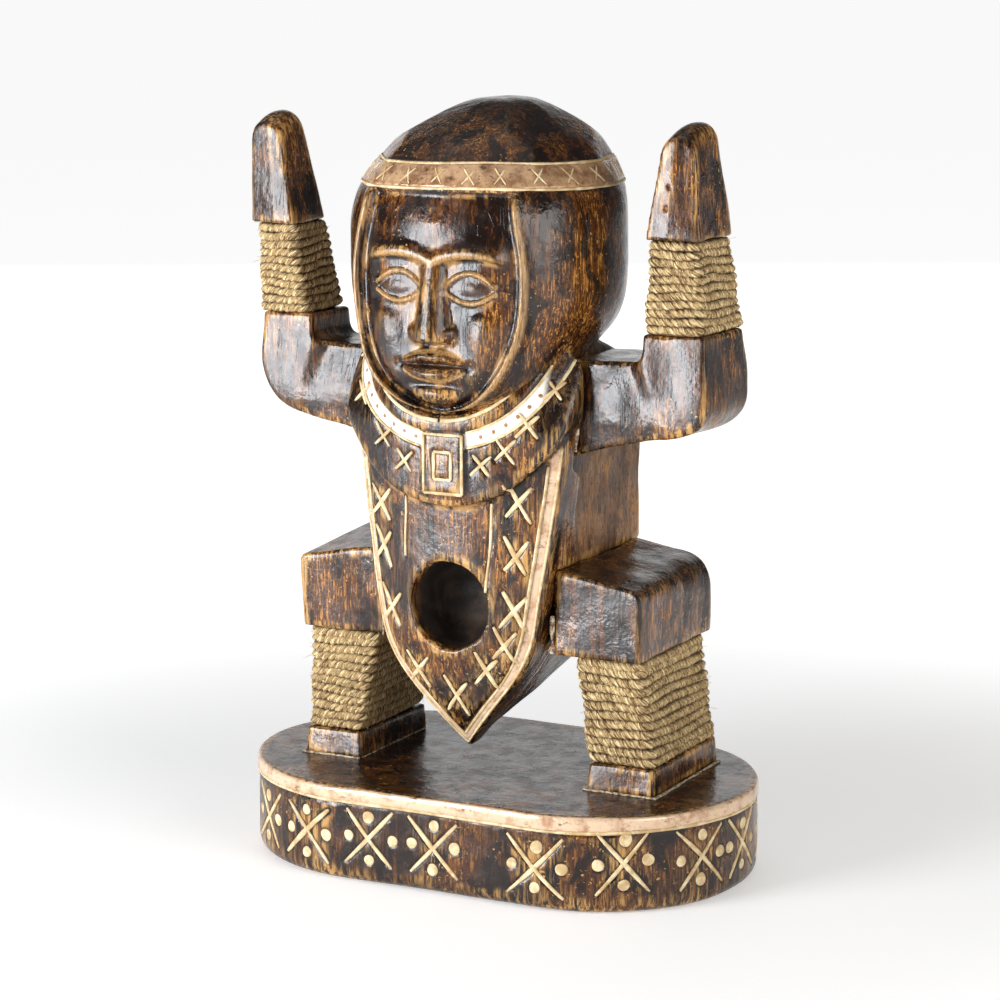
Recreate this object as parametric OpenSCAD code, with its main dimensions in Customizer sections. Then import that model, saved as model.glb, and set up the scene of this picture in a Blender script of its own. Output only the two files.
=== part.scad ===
// Carved standing ancestor figure with raised arms, on an oval-ended plinth.
// The head and trunk are one carved block.  The arms and legs are blocks dowelled to its
// sides, the feet are screwed from below, and rope is wound round each forearm and shin.
// Millimetres.  Origin: middle of the plinth's underside.  The figure faces -Y, up is +Z,
// and its own left side is +X.

/* [Plinth] */
// Length of the plinth from end to end
plinth_w = 340; // [330:1:360]
// Depth of the plinth from front to back
plinth_d = 207; // [205:1:220]
// Thickness of the plinth
plinth_h = 62; // [50:1:62]

/* [Head] */
// Largest radius of the head, seen from above
head_r = 86; // [80:1:88]
// Height of the crown above the floor
head_top = 490; // [480:1:500]
// Height at which the head is widest
head_mid = 408; // [400:1:415]
// Height of the lowest point of the jaw
head_bottom = 296; // [290:1:300]
// Distance of the head's axis in front of the plinth's middle
head_forward = 20; // [16:1:20]
// Distance of the flattened face in front of the plinth's middle
face_forward = 98; // [94:1:102]

/* [Trunk] */
// Half the width of the trunk block
trunk_half_w = 66; // [64:1:68]
// Distance of the back of the trunk behind the plinth's middle
trunk_back = 67; // [62:1:70]
// Height of the trunk's top at the neck
trunk_top = 346; // [340:1:350]
// Half the width of the hips, where the thighs are joined
hip_half_w = 60; // [58:1:62]
// Half the width of the apron at its top
apron_half_w = 75; // [70:1:78]
// Distance of the apron's front face in front of the plinth's middle
apron_forward = 77; // [74:1:80]
// Height of the apron's pointed tip
apron_tip = 83; // [78:1:90]

/* [Belly recess] */
// Radius of the round recess in the belly
recess_r = 29; // [24:0.5:30]
// Depth of the recess from the apron's face
recess_depth = 45; // [30:1:45]
// Height of the recess axis
recess_z = 179; // [176:1:184]

/* [Arms] */
// Height of the underside of the upper arm at the shoulder
arm_low = 276; // [270:1:280]
// Height of the top of the upper arm
arm_high = 332; // [328:1:334]
// Height where the forearm rope starts
wrap_low = 351.5; // [350:0.5:356]
// Height where the forearm rope ends
wrap_high = 409; // [406:1:414]
// Height of the finger tips
hand_top = 477; // [470:1:482]

/* [Legs] */
// Height of the underside of the thighs
thigh_low = 149; // [147:1:152]
// Height of the top of the thighs at the hips
thigh_high = 200; // [196:1:204]
// Distance of the thighs' outer faces from the middle
thigh_out = 118.5; // [116:0.5:121]
// Height of the foot block above the plinth
foot_h = 17; // [15:1:20]

/* [Rope] */
// Thickness of the rope layer
rope_d = 5; // [4:0.1:5]
// How far the rope stands proud of the wood beside it
rope_proud = 1; // [0.5:0.1:1.5]

/* [Fixings] */
// Radius of the shoulder dowels
shoulder_dowel_r = 6; // [5:0.5:7]
// Radius of the hip dowels
hip_dowel_r = 7; // [6:0.5:8]
// Radius of the foot screws' shanks
screw_r = 2.5; // [2:0.1:3]
// Radius of the rope tacks' shanks
tack_r = 0.9; // [0.8:0.1:1.1]

/* [Hidden] */
$fn = 64;

dark_wood = "#4a2d1c";
pale_wood = "#c9a26a";
rope_tan = "#c8ae82";
steel_grey = "#8a8a8a";

gap = 0.1;
far = 400;

// A limb section is [inner x, outer x, front y, back y, z] on the figure's left side.
left_wrist = [120.5, 152.5, -47, 5, wrap_high];
left_elbow = [116.5, 155.5, -45, 20, wrap_low];
right_wrist = [124.5, 152, -50, -8, wrap_high];
right_elbow = [118, 153.8, -46, 3, wrap_low];
left_knee = [72.5, 117.5, -47, 52, thigh_low];
left_ankle = [76.5, 123.5, -37, 59, plinth_h + foot_h];
right_knee = [67, 117.5, -47, 50, thigh_low];
right_ankle = [86, 125.5, -38, 47, plinth_h + foot_h];
sole_margin = 1.5;

arm_front = -46;
left_arm_back = 24;
right_arm_back = 12;
elbow_out = 157;
elbow_in = 115;
hand_tip_w = 16;
hand_tip_h = 9;

thigh_front = -53;
thigh_back = 58;
thigh_round = 9;

head_steps = 28;
apron_steps = 24;
apron_top = 338;
apron_edge_back = 46;
apron_flat = 38;
apron_edge_forward = 60;
apron_curve = 2.7;

collar_r = 84;
collar_hole_r = 52;
collar_z = 326;
collar_forward = 86;
pendant_w = 30;
pendant_h = 42;
pendant_z = 250;

shoulder_dowel_l = 62;
shoulder_dowel_y = [-26, 0];
shoulder_dowel_z = 304;
hip_dowel_l = 60;
hip_dowel_y = [-22, 28];
hip_dowel_z = 172;

screw_head_r = 5;
screw_head_h = 3.5;
screw_sink = 3;
screw_y = [-15, 28];
screw_reach = 30;

tack_head_r = 2.1;
tack_head_h = 1;
tack_l = 12;
tack_edge = 5;

// Slab of a limb section, drawn in by inset on all sides, with corners of radius r.
module section_slab(s, inset, r) {
    for (x = [s[0] + inset + r, s[1] - inset - r])
        for (y = [s[2] + inset + r, s[3] - inset - r])
            translate([x, y, s[4]]) cylinder(r = r, h = gap, center = true, $fn = 24);
}

// Straight-sided limb between two sections.
module taper(low, high, inset, r) {
    hull() {
        section_slab(low, inset, r);
        section_slab(high, inset, r);
    }
}

// Plan outline of the plinth: a rectangle with half-round ends.
module plinth_outline() {
    straight = plinth_w - plinth_d;
    square([straight, plinth_d], center = true);
    for (side = [-1, 1])
        translate([side * straight / 2, 0]) circle(d = plinth_d, $fn = 128);
}

module plinth() {
    color(dark_wood) difference() {
        linear_extrude(plinth_h) plinth_outline();
        screw_set(left_ankle, 1, gap / 2);
        screw_set(right_ankle, -1, gap / 2);
    }
}

// Radius of the head at height z: an ellipse above head_mid, a fuller curve below it.
function head_radius(z) =
    z > head_mid
        ? head_r * sqrt(max(0, 1 - pow((z - head_mid) / (head_top - head_mid), 2)))
        : head_r * sqrt(max(0, 1 - pow((head_mid - z) / (head_mid - head_bottom), 3)));

module head() {
    outline = [for (i = [0 : head_steps])
        let (z = head_bottom + (head_top - head_bottom) * (1 - cos(180 * i / head_steps)) / 2)
        [head_radius(z), z]];
    intersection() {
        translate([0, -head_forward, 0])
            rotate_extrude($fn = 96) polygon(concat(outline, [[0, head_top], [0, head_bottom]]));
        translate([-far, -face_forward, 0]) cube([2 * far, 2 * face_forward, far * 2]);
    }
}

// Half the width of the apron at height z.
function apron_half(z) =
    apron_half_w * (1 - pow((apron_top - z) / (apron_top - apron_tip), apron_curve));

module apron_front_outline() {
    heights = [for (i = [0 : apron_steps]) apron_tip + (apron_top - apron_tip) * i / apron_steps];
    right = [for (z = heights) [apron_half(z), z]];
    left = [for (i = [apron_steps : -1 : 1]) [-apron_half(heights[i]), heights[i]]];
    polygon(concat(right, left));
}

module apron_plan_outline() {
    polygon([
        [-apron_half_w - 1, trunk_back], [-apron_half_w - 1, -apron_edge_forward],
        [-apron_flat, -apron_forward], [apron_flat, -apron_forward],
        [apron_half_w + 1, -apron_edge_forward], [apron_half_w + 1, trunk_back]]);
}

// Side view of the apron and the keel behind its lower half.
module apron_side_outline() {
    polygon([
        [-52, apron_tip], [-31, apron_tip + 13], [-5, apron_tip + 25], [12, apron_tip + 38],
        [40, thigh_low - 2], [40, 200], [-apron_edge_back, 205], [-apron_edge_back, apron_top],
        [-apron_forward, apron_top], [-apron_forward, 140], [-68, 112]]);
}

module apron() {
    intersection() {
        rotate([90, 0, 0]) linear_extrude(2 * far, center = true) apron_front_outline();
        linear_extrude(far) apron_plan_outline();
        rotate([90, 0, 90]) linear_extrude(2 * far, center = true) apron_side_outline();
    }
}

// Yoke-shaped collar, open at the top, standing on the apron.
module collar() {
    translate([0, -apron_edge_back, collar_z]) rotate([90, 0, 0])
        linear_extrude(collar_forward - apron_edge_back) difference() {
            intersection() {
                circle(r = collar_r, $fn = 96);
                translate([0, -collar_r / 2 + 6]) square([2 * apron_half_w, collar_r + 12], center = true);
            }
            circle(r = collar_hole_r, $fn = 96);
        }
}

module pendant() {
    translate([-pendant_w / 2, -collar_forward - 1, pendant_z])
        cube([pendant_w, collar_forward - apron_edge_back, pendant_h]);
}

module head_and_trunk() {
    color(dark_wood) difference() {
        union() {
            head();
            translate([-trunk_half_w, -apron_edge_back - 4, thigh_high + 2])
                cube([2 * trunk_half_w, trunk_back + apron_edge_back + 4, trunk_top - thigh_high - 2]);
            translate([-hip_half_w, -apron_edge_back, thigh_low])
                cube([2 * hip_half_w, 56 + apron_edge_back, thigh_high - thigh_low + 4]);
            apron();
            collar();
            pendant();
        }
        for (side = [0, 1]) mirror([side, 0, 0]) {
            translate([trunk_half_w, -apron_edge_back, arm_low])
                cube([far, far, arm_high + 6 - arm_low]);
            translate([hip_half_w, -apron_edge_back - 8, thigh_low - 1])
                cube([far, far, thigh_high - thigh_low + 2]);
            shoulder_dowel_set(gap);
            hip_dowel_set(gap);
        }
        translate([0, -apron_forward + recess_depth, recess_z])
            rotate([90, 0, 0]) cylinder(r = recess_r, h = far, $fn = 96);
    }
}

// Front view of the upper arm and elbow, up to the start of the rope.
module arm_outline(elbow) {
    polygon([
        [trunk_half_w, arm_low], [trunk_half_w + 18, arm_low], [elbow_in + 4, arm_low + 7],
        [elbow_out - 12, arm_low + 13], [elbow_out - 2, arm_low + 22],
        [elbow_out, arm_low + 36], [elbow[1] + 1, wrap_low], [elbow[0] - 1, wrap_low],
        [elbow_in - 1, arm_high + 6], [elbow_in - 5, arm_high], [trunk_half_w, arm_high]]);
}

// Hand: a wedge that narrows to rounded finger tips.
module hand(wrist) {
    base = [wrist[0] - 1, wrist[1] + 1, wrist[2] - 1, wrist[3] + 1, wrap_high];
    mid_x = (wrist[0] + wrist[1]) / 2;
    tip_low = [mid_x - hand_tip_w * 0.6, mid_x + hand_tip_w * 0.6, wrist[2] - 1,
        wrist[3] - 4, hand_top - hand_tip_h];
    tip_high = [mid_x - hand_tip_w / 2, mid_x + hand_tip_w / 2, wrist[2] + 8,
        wrist[3] - 12, hand_top];
    hull() {
        section_slab(base, 0, 3);
        section_slab(tip_low, 0, 3);
        section_slab(tip_high, 0, 3);
    }
}

module arm(elbow, wrist, back) {
    color(dark_wood) difference() {
        union() {
            translate([0, back, 0]) rotate([90, 0, 0])
                linear_extrude(back - arm_front) arm_outline(elbow);
            taper(elbow, wrist, rope_d - rope_proud, 3);
            hand(wrist);
        }
        shoulder_dowel_set(gap);
        tack_pair(elbow, wrist, gap / 2);
    }
}

module left_arm() {
    arm(left_elbow, left_wrist, left_arm_back);
}

module right_arm() {
    mirror([1, 0, 0]) arm(right_elbow, right_wrist, right_arm_back);
}

// Front view of the thigh, rounded at its upper outer edge.
module thigh_outline() {
    width = thigh_out - hip_half_w;
    height = thigh_high - thigh_low;
    translate([hip_half_w, thigh_low]) square([width, height - thigh_round]);
    translate([hip_half_w, thigh_low]) square([width - thigh_round, height]);
    translate([thigh_out - thigh_round, thigh_high - thigh_round]) circle(r = thigh_round);
}

module leg(knee, ankle) {
    foot_top = [ankle[0] - 1, ankle[1] + 1, ankle[2] - 1, ankle[3] + 1, ankle[4]];
    sole = [ankle[0] - sole_margin, ankle[1] + sole_margin, ankle[2] - 3 * sole_margin,
        ankle[3] + sole_margin, plinth_h + gap / 2];
    color(dark_wood) difference() {
        union() {
            translate([0, thigh_back, 0]) rotate([90, 0, 0])
                linear_extrude(thigh_back - thigh_front) thigh_outline();
            taper(ankle, knee, rope_d - rope_proud, 3);
            taper(sole, foot_top, 0, 3);
        }
        hip_dowel_set(gap);
        screw_set(ankle, 1, gap / 2);
        tack_pair(ankle, knee, gap / 2);
    }
}

module left_leg() {
    leg(left_knee, left_ankle);
}

module right_leg() {
    mirror([1, 0, 0]) leg(right_knee, right_ankle);
}

// Closed sleeve that stands for the wound rope between two sections.
module rope_sleeve(low, high) {
    start = [low[0], low[1], low[2], low[3], low[4] + gap];
    end = [high[0], high[1], high[2], high[3], high[4] - gap];
    color(rope_tan) difference() {
        taper(start, end, -rope_proud, 5);
        taper([low[0], low[1], low[2], low[3], low[4] - 1], [high[0], high[1], high[2], high[3], high[4] + 1],
            rope_d - rope_proud - gap, 3);
        tack_pair(low, high, gap / 2);
    }
}

module left_forearm_rope() {
    rope_sleeve(left_elbow, left_wrist);
}

module right_forearm_rope() {
    mirror([1, 0, 0]) rope_sleeve(right_elbow, right_wrist);
}

module left_shin_rope() {
    rope_sleeve(left_ankle, left_knee);
}

module right_shin_rope() {
    mirror([1, 0, 0]) rope_sleeve(right_ankle, right_knee);
}

// Dowels across the shoulder joint on the figure's left side, grown by extra for their bores.
module shoulder_dowel_set(extra) {
    for (y = shoulder_dowel_y)
        translate([trunk_half_w, y, shoulder_dowel_z]) rotate([0, 90, 0])
            cylinder(r = shoulder_dowel_r + extra, h = shoulder_dowel_l + 2 * extra, center = true);
}

module left_shoulder_dowels() {
    color(pale_wood) shoulder_dowel_set(0);
}

module right_shoulder_dowels() {
    mirror([1, 0, 0]) color(pale_wood) shoulder_dowel_set(0);
}

module hip_dowel_set(extra) {
    for (y = hip_dowel_y)
        translate([hip_half_w, y, hip_dowel_z]) rotate([0, 90, 0])
            cylinder(r = hip_dowel_r + extra, h = hip_dowel_l + 2 * extra, center = true);
}

module left_hip_dowels() {
    color(pale_wood) hip_dowel_set(0);
}

module right_hip_dowels() {
    mirror([1, 0, 0]) color(pale_wood) hip_dowel_set(0);
}

// Countersunk screws up through the plinth into a foot.
module screw_set(ankle, side, extra) {
    x = side * (ankle[0] + ankle[1]) / 2;
    for (y = screw_y) translate([x, y, screw_sink]) {
        cylinder(r = screw_r + extra, h = plinth_h + screw_reach - screw_sink + extra);
        cylinder(r1 = screw_head_r + extra, r2 = screw_r + extra, h = screw_head_h);
        if (extra > 0) translate([0, 0, -far]) cylinder(r = screw_head_r + extra, h = far);
    }
}

module left_foot_screws() {
    color(steel_grey) screw_set(left_ankle, 1, 0);
}

module right_foot_screws() {
    color(steel_grey) screw_set(right_ankle, -1, 0);
}

// Back y of a limb with rope on it, at height z between two sections.
function wrap_back(low, high, z) =
    low[3] + rope_proud + (high[3] - low[3]) * (z - low[4]) / (high[4] - low[4]);

// The two tacks that pin a rope's ends, through the rope into the back of the limb.
module tack_pair(low, high, extra) {
    x = (low[0] + low[1] + high[0] + high[1]) / 4;
    for (z = [low[4] + tack_edge, high[4] - tack_edge])
        translate([x, wrap_back(low, high, z), z]) rotate([90, 0, 0]) {
            cylinder(r = tack_r + extra, h = tack_l + extra, $fn = 32);
            translate([0, 0, -tack_head_h]) cylinder(r = tack_head_r + extra, h = tack_head_h + gap, $fn = 32);
        }
}

module rope_tacks() {
    color(steel_grey) {
        tack_pair(left_elbow, left_wrist, 0);
        tack_pair(left_ankle, left_knee, 0);
        mirror([1, 0, 0]) {
            tack_pair(right_elbow, right_wrist, 0);
            tack_pair(right_ankle, right_knee, 0);
        }
    }
}

plinth();
head_and_trunk();
left_arm();
right_arm();
left_leg();
right_leg();
left_forearm_rope();
right_forearm_rope();
left_shin_rope();
right_shin_rope();
left_shoulder_dowels();
right_shoulder_dowels();
left_hip_dowels();
right_hip_dowels();
left_foot_screws();
right_foot_screws();
rope_tacks();
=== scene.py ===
"""Looks for the carved ancestor figure: carved wood blocks, rope windings, cut lines and paint.

Lengths inside the carving code are millimetres in the frame of the CAD model; meshes are written in metres.
Each wood block is a distance field sampled on a grid and meshed, so that its edges, cuts and hollows are real
geometry.  Cream lines, crosses and dots are thin pieces that lie in the cuts.  Copper is a painted mask; the
pale collar strip is a painted highlight, and painted shade darkens the recess, cuts, eyes and the rope's
gaps.
"""

import math

import bpy
import numpy as np
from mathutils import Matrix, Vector


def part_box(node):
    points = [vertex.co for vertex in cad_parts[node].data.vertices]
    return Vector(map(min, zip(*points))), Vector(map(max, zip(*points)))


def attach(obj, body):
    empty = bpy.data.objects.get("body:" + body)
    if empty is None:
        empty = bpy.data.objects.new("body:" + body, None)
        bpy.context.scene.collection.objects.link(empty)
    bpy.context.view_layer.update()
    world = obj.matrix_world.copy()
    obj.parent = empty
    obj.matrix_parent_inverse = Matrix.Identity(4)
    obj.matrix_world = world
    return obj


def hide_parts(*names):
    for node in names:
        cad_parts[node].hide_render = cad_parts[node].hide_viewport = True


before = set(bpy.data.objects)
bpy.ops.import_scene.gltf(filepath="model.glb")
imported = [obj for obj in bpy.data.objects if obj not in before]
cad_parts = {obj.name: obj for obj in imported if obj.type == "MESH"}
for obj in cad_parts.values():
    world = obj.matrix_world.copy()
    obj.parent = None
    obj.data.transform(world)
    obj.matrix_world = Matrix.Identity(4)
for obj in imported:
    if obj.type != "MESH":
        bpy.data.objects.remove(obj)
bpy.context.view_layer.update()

MM = 0.001
WOOD_STEP = 1.3
FACE_STEP = 1.1
ROPE_SIDES = 8


# ---------------------------------------------------------------- frame

def node_box(node):
    """Lowest and highest corner of a CAD node, in millimetres."""
    low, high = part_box(node)
    return np.array(low) / MM, np.array(high) / MM


def node_section(node, top):
    """Inner x, outer x, front y, back y and z of a CAD limb at its top or bottom, on the +X side."""
    points = np.array([v.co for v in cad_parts[node].data.vertices]) / MM
    z = points[:, 2].max() if top else points[:, 2].min()
    ring = points[np.abs(points[:, 2] - z) < 0.5]
    x = np.abs(ring[:, 0])
    return np.array([x.min(), x.max(), ring[:, 1].min(), ring[:, 1].max(), z])


# ---------------------------------------------------------------- distance fields

def smooth_min(a, b, k):
    h = np.maximum(k - np.abs(a - b), 0) / k
    return np.minimum(a, b) - h * h * k / 4


def smooth_max(a, b, k):
    return -smooth_min(-a, -b, k)


def step_up(value, low, high):
    """0 below low, 1 above high, smooth between."""
    t = np.clip((value - low) / (high - low), 0, 1)
    return t * t * (3 - 2 * t)


def bump(u, v, width, height):
    """Round hill of height 1 at the middle, fading at width and height."""
    return np.exp(-((u / width) ** 2 + (v / height) ** 2))


def block(p, low, high, radius):
    """Box between two corners with rounded edges."""
    sides = []
    for value, a, b in zip(p, low, high):
        sides.append(np.abs(value - (a + b) / 2) - ((b - a) / 2 - radius))
    outside = np.sqrt(sum(np.maximum(s, 0) ** 2 for s in sides))
    inside = np.minimum(np.maximum(np.maximum(sides[0], sides[1]), sides[2]), 0)
    return outside + inside - radius


def rounded_form(p, centre, radii, powers):
    """Ellipsoid-like form; a power above 2 along an axis flattens its ends."""
    total = -1
    slope = 0
    for value, c, r, power in zip(p, centre, radii, powers):
        q = np.abs(value - c) / r
        total = total + q ** power
        slope = slope + (power * q ** (power - 1) / r) ** 2
    return total / np.sqrt(np.maximum(slope, 1e-4))


def taper(p, low, high, inset, radius):
    """Limb whose section changes evenly with height between two sections, without ends."""
    x, y, z = p
    t = (z - low[4]) / (high[4] - low[4])
    section = [low[i] + (high[i] - low[i]) * t for i in range(4)]
    dx = np.abs(x - (section[0] + section[1]) / 2) - ((section[1] - section[0]) / 2 - inset - radius)
    dy = np.abs(y - (section[2] + section[3]) / 2) - ((section[3] - section[2]) / 2 - inset - radius)
    outside = np.sqrt(np.maximum(dx, 0) ** 2 + np.maximum(dy, 0) ** 2)
    return outside + np.minimum(np.maximum(dx, dy), 0) - radius


def hewn(p, seed, wavelength, count=5):
    """Gentle unevenness of a hand-cut surface, about -1 to 1."""
    rng = np.random.default_rng(seed)
    total = 0
    for _ in range(count):
        direction = rng.normal(size=3)
        direction /= np.linalg.norm(direction)
        wave = direction * (2 * math.pi / (wavelength * rng.uniform(0.7, 1.5)))
        phase = rng.uniform(0, 2 * math.pi)
        total = total + np.sin(p[0] * wave[0] + p[1] * wave[1] + p[2] * wave[2] + phase)
    return (total / count * 1.6).astype(np.float32)


def mirrored(field):
    """The same field for the figure's right side."""
    return lambda p: field((-p[0], p[1], p[2]))


# ---------------------------------------------------------------- grids and meshes

class Grid:
    """Regular samples round a box; x, y and z broadcast against each other."""

    def __init__(self, low, high, step):
        self.step = step
        self.low = np.array(low, float) - 2.5 * step
        count = np.ceil((np.array(high, float) - self.low) / step).astype(int) + 3
        self.axes = [(self.low[i] + step * np.arange(count[i])).astype(np.float32) for i in range(3)]
        self.p = (self.axes[0][:, None, None], self.axes[1][None, :, None], self.axes[2][None, None, :])

    def window(self, low, high):
        """Index slices and samples of the part of the grid between two corners."""
        cut = []
        for axis, a, b in zip(self.axes, low, high):
            cut.append(slice(max(0, int(np.searchsorted(axis, a)) - 1), int(np.searchsorted(axis, b)) + 1))
        x = self.axes[0][cut[0], None, None]
        y = self.axes[1][None, cut[1], None]
        z = self.axes[2][None, None, cut[2]]
        return tuple(cut), (x, y, z)


CORNERS = np.array([(i, j, k) for i in (0, 1) for j in (0, 1) for k in (0, 1)])
EDGES = [(a, b) for a in range(8) for b in range(a + 1, 8) if np.abs(CORNERS[a] - CORNERS[b]).sum() == 1]


def surface_net(values, grid):
    """Vertices and quads of the surface where values cross zero, negative inside."""
    inside = values < 0
    count = np.zeros([n - 1 for n in inside.shape], np.uint8)
    for i, j, k in CORNERS:
        count += inside[i:i + count.shape[0], j:j + count.shape[1], k:k + count.shape[2]]
    cells = np.argwhere((count > 0) & (count < 8))
    number = np.full(count.shape, -1, np.int64)
    number[tuple(cells.T)] = np.arange(len(cells))
    corner = np.stack([values[tuple((cells + c).T)] for c in CORNERS], 1).astype(np.float64)
    total = np.zeros((len(cells), 3))
    crossings = np.zeros(len(cells))
    for a, b in EDGES:
        crosses = (corner[:, a] < 0) != (corner[:, b] < 0)
        t = corner[:, a] / np.where(crosses, corner[:, a] - corner[:, b], 1)
        place = CORNERS[a] + t[:, None] * (CORNERS[b] - CORNERS[a])
        total += np.where(crosses[:, None], place, 0)
        crossings += crosses
    points = grid.low + grid.step * (cells + total / crossings[:, None])
    quads = []
    for axis in range(3):
        u, v = [(1, 2), (2, 0), (0, 1)][axis]
        first = np.take(inside, range(inside.shape[axis] - 1), axis)
        second = np.take(inside, range(1, inside.shape[axis]), axis)
        edges = np.argwhere(first != second)
        edges = edges[(edges[:, u] > 0) & (edges[:, v] > 0)]
        edges = edges[(edges[:, u] < count.shape[u]) & (edges[:, v] < count.shape[v])]
        outward = first[tuple(edges.T)]
        ring = []
        for du, dv in [(-1, -1), (0, -1), (0, 0), (-1, 0)]:
            cell = edges.copy()
            cell[:, u] += du
            cell[:, v] += dv
            ring.append(number[tuple(cell.T)])
        ring = np.stack(ring, 1)
        ring[~outward] = ring[~outward][:, ::-1]
        quads.append(ring)
    return points, np.concatenate(quads)


def neighbour_mean(points, edges):
    """Average of each vertex's neighbours."""
    total = np.zeros_like(points)
    degree = np.zeros(len(points))
    for a, b in ((0, 1), (1, 0)):
        np.add.at(degree, edges[:, a], 1)
        for axis in range(points.shape[1]):
            total[:, axis] += np.bincount(edges[:, a], points[edges[:, b], axis], len(points))
    return total / np.maximum(degree, 1)[:, None]


def convexity(points, quads, rounds):
    """How far each vertex stands out from its smoothed surroundings, in millimetres; cuts are negative."""
    edges = np.concatenate([quads[:, [0, 1]], quads[:, [1, 2]], quads[:, [2, 3]], quads[:, [3, 0]]])
    edges = np.unique(np.sort(edges, 1), axis=0)
    smooth = points.copy()
    for _ in range(rounds):
        smooth = neighbour_mean(smooth, edges)
    across = points[quads[:, 2]] - points[quads[:, 0]]
    along = points[quads[:, 3]] - points[quads[:, 1]]
    face_normal = np.cross(across, along)
    normal = np.zeros_like(points)
    for corner in range(4):
        for axis in range(3):
            normal[:, axis] += np.bincount(quads[:, corner], face_normal[:, axis], len(points))
    normal /= np.maximum(np.linalg.norm(normal, axis=1), 1e-9)[:, None]
    out = ((points - smooth) * normal).sum(1)
    return neighbour_mean(out[:, None], edges)[:, 0]


def make_mesh(name, points, faces, masks=None):
    """Blender object from points in millimetres and quads, with point masks as float attributes."""
    mesh = bpy.data.meshes.new(name)
    mesh.vertices.add(len(points))
    mesh.vertices.foreach_set("co", (np.asarray(points) * MM).astype(np.float32).ravel())
    sides = faces.shape[1]
    mesh.loops.add(faces.size)
    mesh.loops.foreach_set("vertex_index", faces.astype(np.int32).ravel())
    mesh.polygons.add(len(faces))
    mesh.polygons.foreach_set("loop_start", np.arange(0, faces.size, sides, dtype=np.int32))
    mesh.update(calc_edges=True)
    mesh.validate()
    mesh.shade_smooth()
    for key, values in (masks or {}).items():
        values = np.asarray(values, np.float32)
        kind = "FLOAT" if values.ndim == 1 else "FLOAT_VECTOR"
        field = "value" if values.ndim == 1 else "vector"
        mesh.attributes.new(key, kind, "POINT").data.foreach_set(field, values.ravel())
    thing = bpy.data.objects.new(name, mesh)
    bpy.context.scene.collection.objects.link(thing)
    return thing


def finish_piece(thing, material, nodes=()):
    """Material and body of a piece; hides the CAD nodes it stands in for."""
    thing.data.materials.clear()
    thing.data.materials.append(material)
    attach(thing, "root")
    if nodes:
        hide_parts(*nodes)
    return thing


def drop(field, start, direction, reach):
    """Where rays first meet the surface of a field, and the outward normals there; misses are left out."""
    start = np.asarray(start, float)
    direction = np.broadcast_to(np.asarray(direction, float), start.shape)
    steps = np.linspace(0, reach, 90)
    path = start[:, None, :] + direction[:, None, :] * steps[None, :, None]
    values = field((path[..., 0], path[..., 1], path[..., 2]))
    first = np.argmax(values < 0, 1)
    low = steps[np.maximum(first - 1, 0)]
    high = steps[first]
    for _ in range(14):
        middle = (low + high) / 2
        point = start + direction * middle[:, None]
        outside = field((point[:, 0], point[:, 1], point[:, 2])) > 0
        low = np.where(outside, middle, low)
        high = np.where(outside, high, middle)
    hit = (values < 0).any(1)
    point = (start + direction * high[:, None])[hit]
    return point, normals_of(field, point)


def normals_of(field, point, reach=1.2):
    normal = np.zeros_like(point)
    for axis in range(3):
        shift = np.zeros(3)
        shift[axis] = reach
        a = point + shift
        b = point - shift
        normal[:, axis] = field((a[:, 0], a[:, 1], a[:, 2])) - field((b[:, 0], b[:, 1], b[:, 2]))
    return normal / np.linalg.norm(normal, axis=1)[:, None]


# ---------------------------------------------------------------- strokes: cuts and what fills them

# Width of a knife cut's ends as a share of its middle.
KNIFE_BLUNT = 0.6


class Stroke:
    """A cut line on a surface: points, outward normals and half widths, in millimetres."""

    def __init__(self, points, normals, half_widths):
        self.points = points
        self.normals = normals
        self.half_widths = half_widths


def knife_widths(count, half_width, rng):
    """Half widths of a knife cut that is full in the middle and narrow at its ends."""
    t = np.linspace(-1, 1, count)
    profile = KNIFE_BLUNT + (1 - KNIFE_BLUNT) * (1 - np.abs(t) ** 4)
    return half_width * profile * (1 + 0.12 * np.interp(t, np.linspace(-1, 1, 6), rng.normal(size=6)))


def even_widths(count, half_width, rng):
    """Half widths of a long line, slightly uneven."""
    knots = np.linspace(0, 1, max(4, count // 6))
    return half_width * (1 + 0.16 * np.interp(np.linspace(0, 1, count), knots, rng.normal(size=len(knots))))


def carve(values, grid, stroke, depth):
    """Cuts a stroke's groove into sampled field values."""
    points = stroke.points + stroke.normals * (stroke.half_widths - depth)[:, None] * 0.6
    for a, b, ra, rb in zip(points[:-1], points[1:], stroke.half_widths[:-1], stroke.half_widths[1:]):
        margin = max(ra, rb) + 2 * grid.step
        cut, (x, y, z) = grid.window(np.minimum(a, b) - margin, np.maximum(a, b) + margin)
        d = b - a
        length = max(float(d @ d), 1e-9)
        t = np.clip(((x - a[0]) * d[0] + (y - a[1]) * d[1] + (z - a[2]) * d[2]) / length, 0, 1)
        away = np.sqrt((x - a[0] - t * d[0]) ** 2 + (y - a[1] - t * d[1]) ** 2 + (z - a[2] - t * d[2]) ** 2)
        values[cut] = np.maximum(values[cut], ra + (rb - ra) * t - away)


def end_cap(base, sides, flip):
    """Quads that close a ring of an even number of points."""
    faces = []
    for i in range(sides // 2 - 1):
        face = (base + (sides - i) % sides, base + i + 1, base + i + 2, base + sides - i - 1)
        faces.append(face[::-1] if flip else face)
    return faces


def ring_quads(ring_count, sides):
    """Faces that join rings of points, one after another."""
    quads = []
    for k in range(ring_count - 1):
        for i in range(sides):
            j = (i + 1) % sides
            quads.append((k * sides + i, k * sides + j, (k + 1) * sides + j, (k + 1) * sides + i))
    return quads


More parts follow.
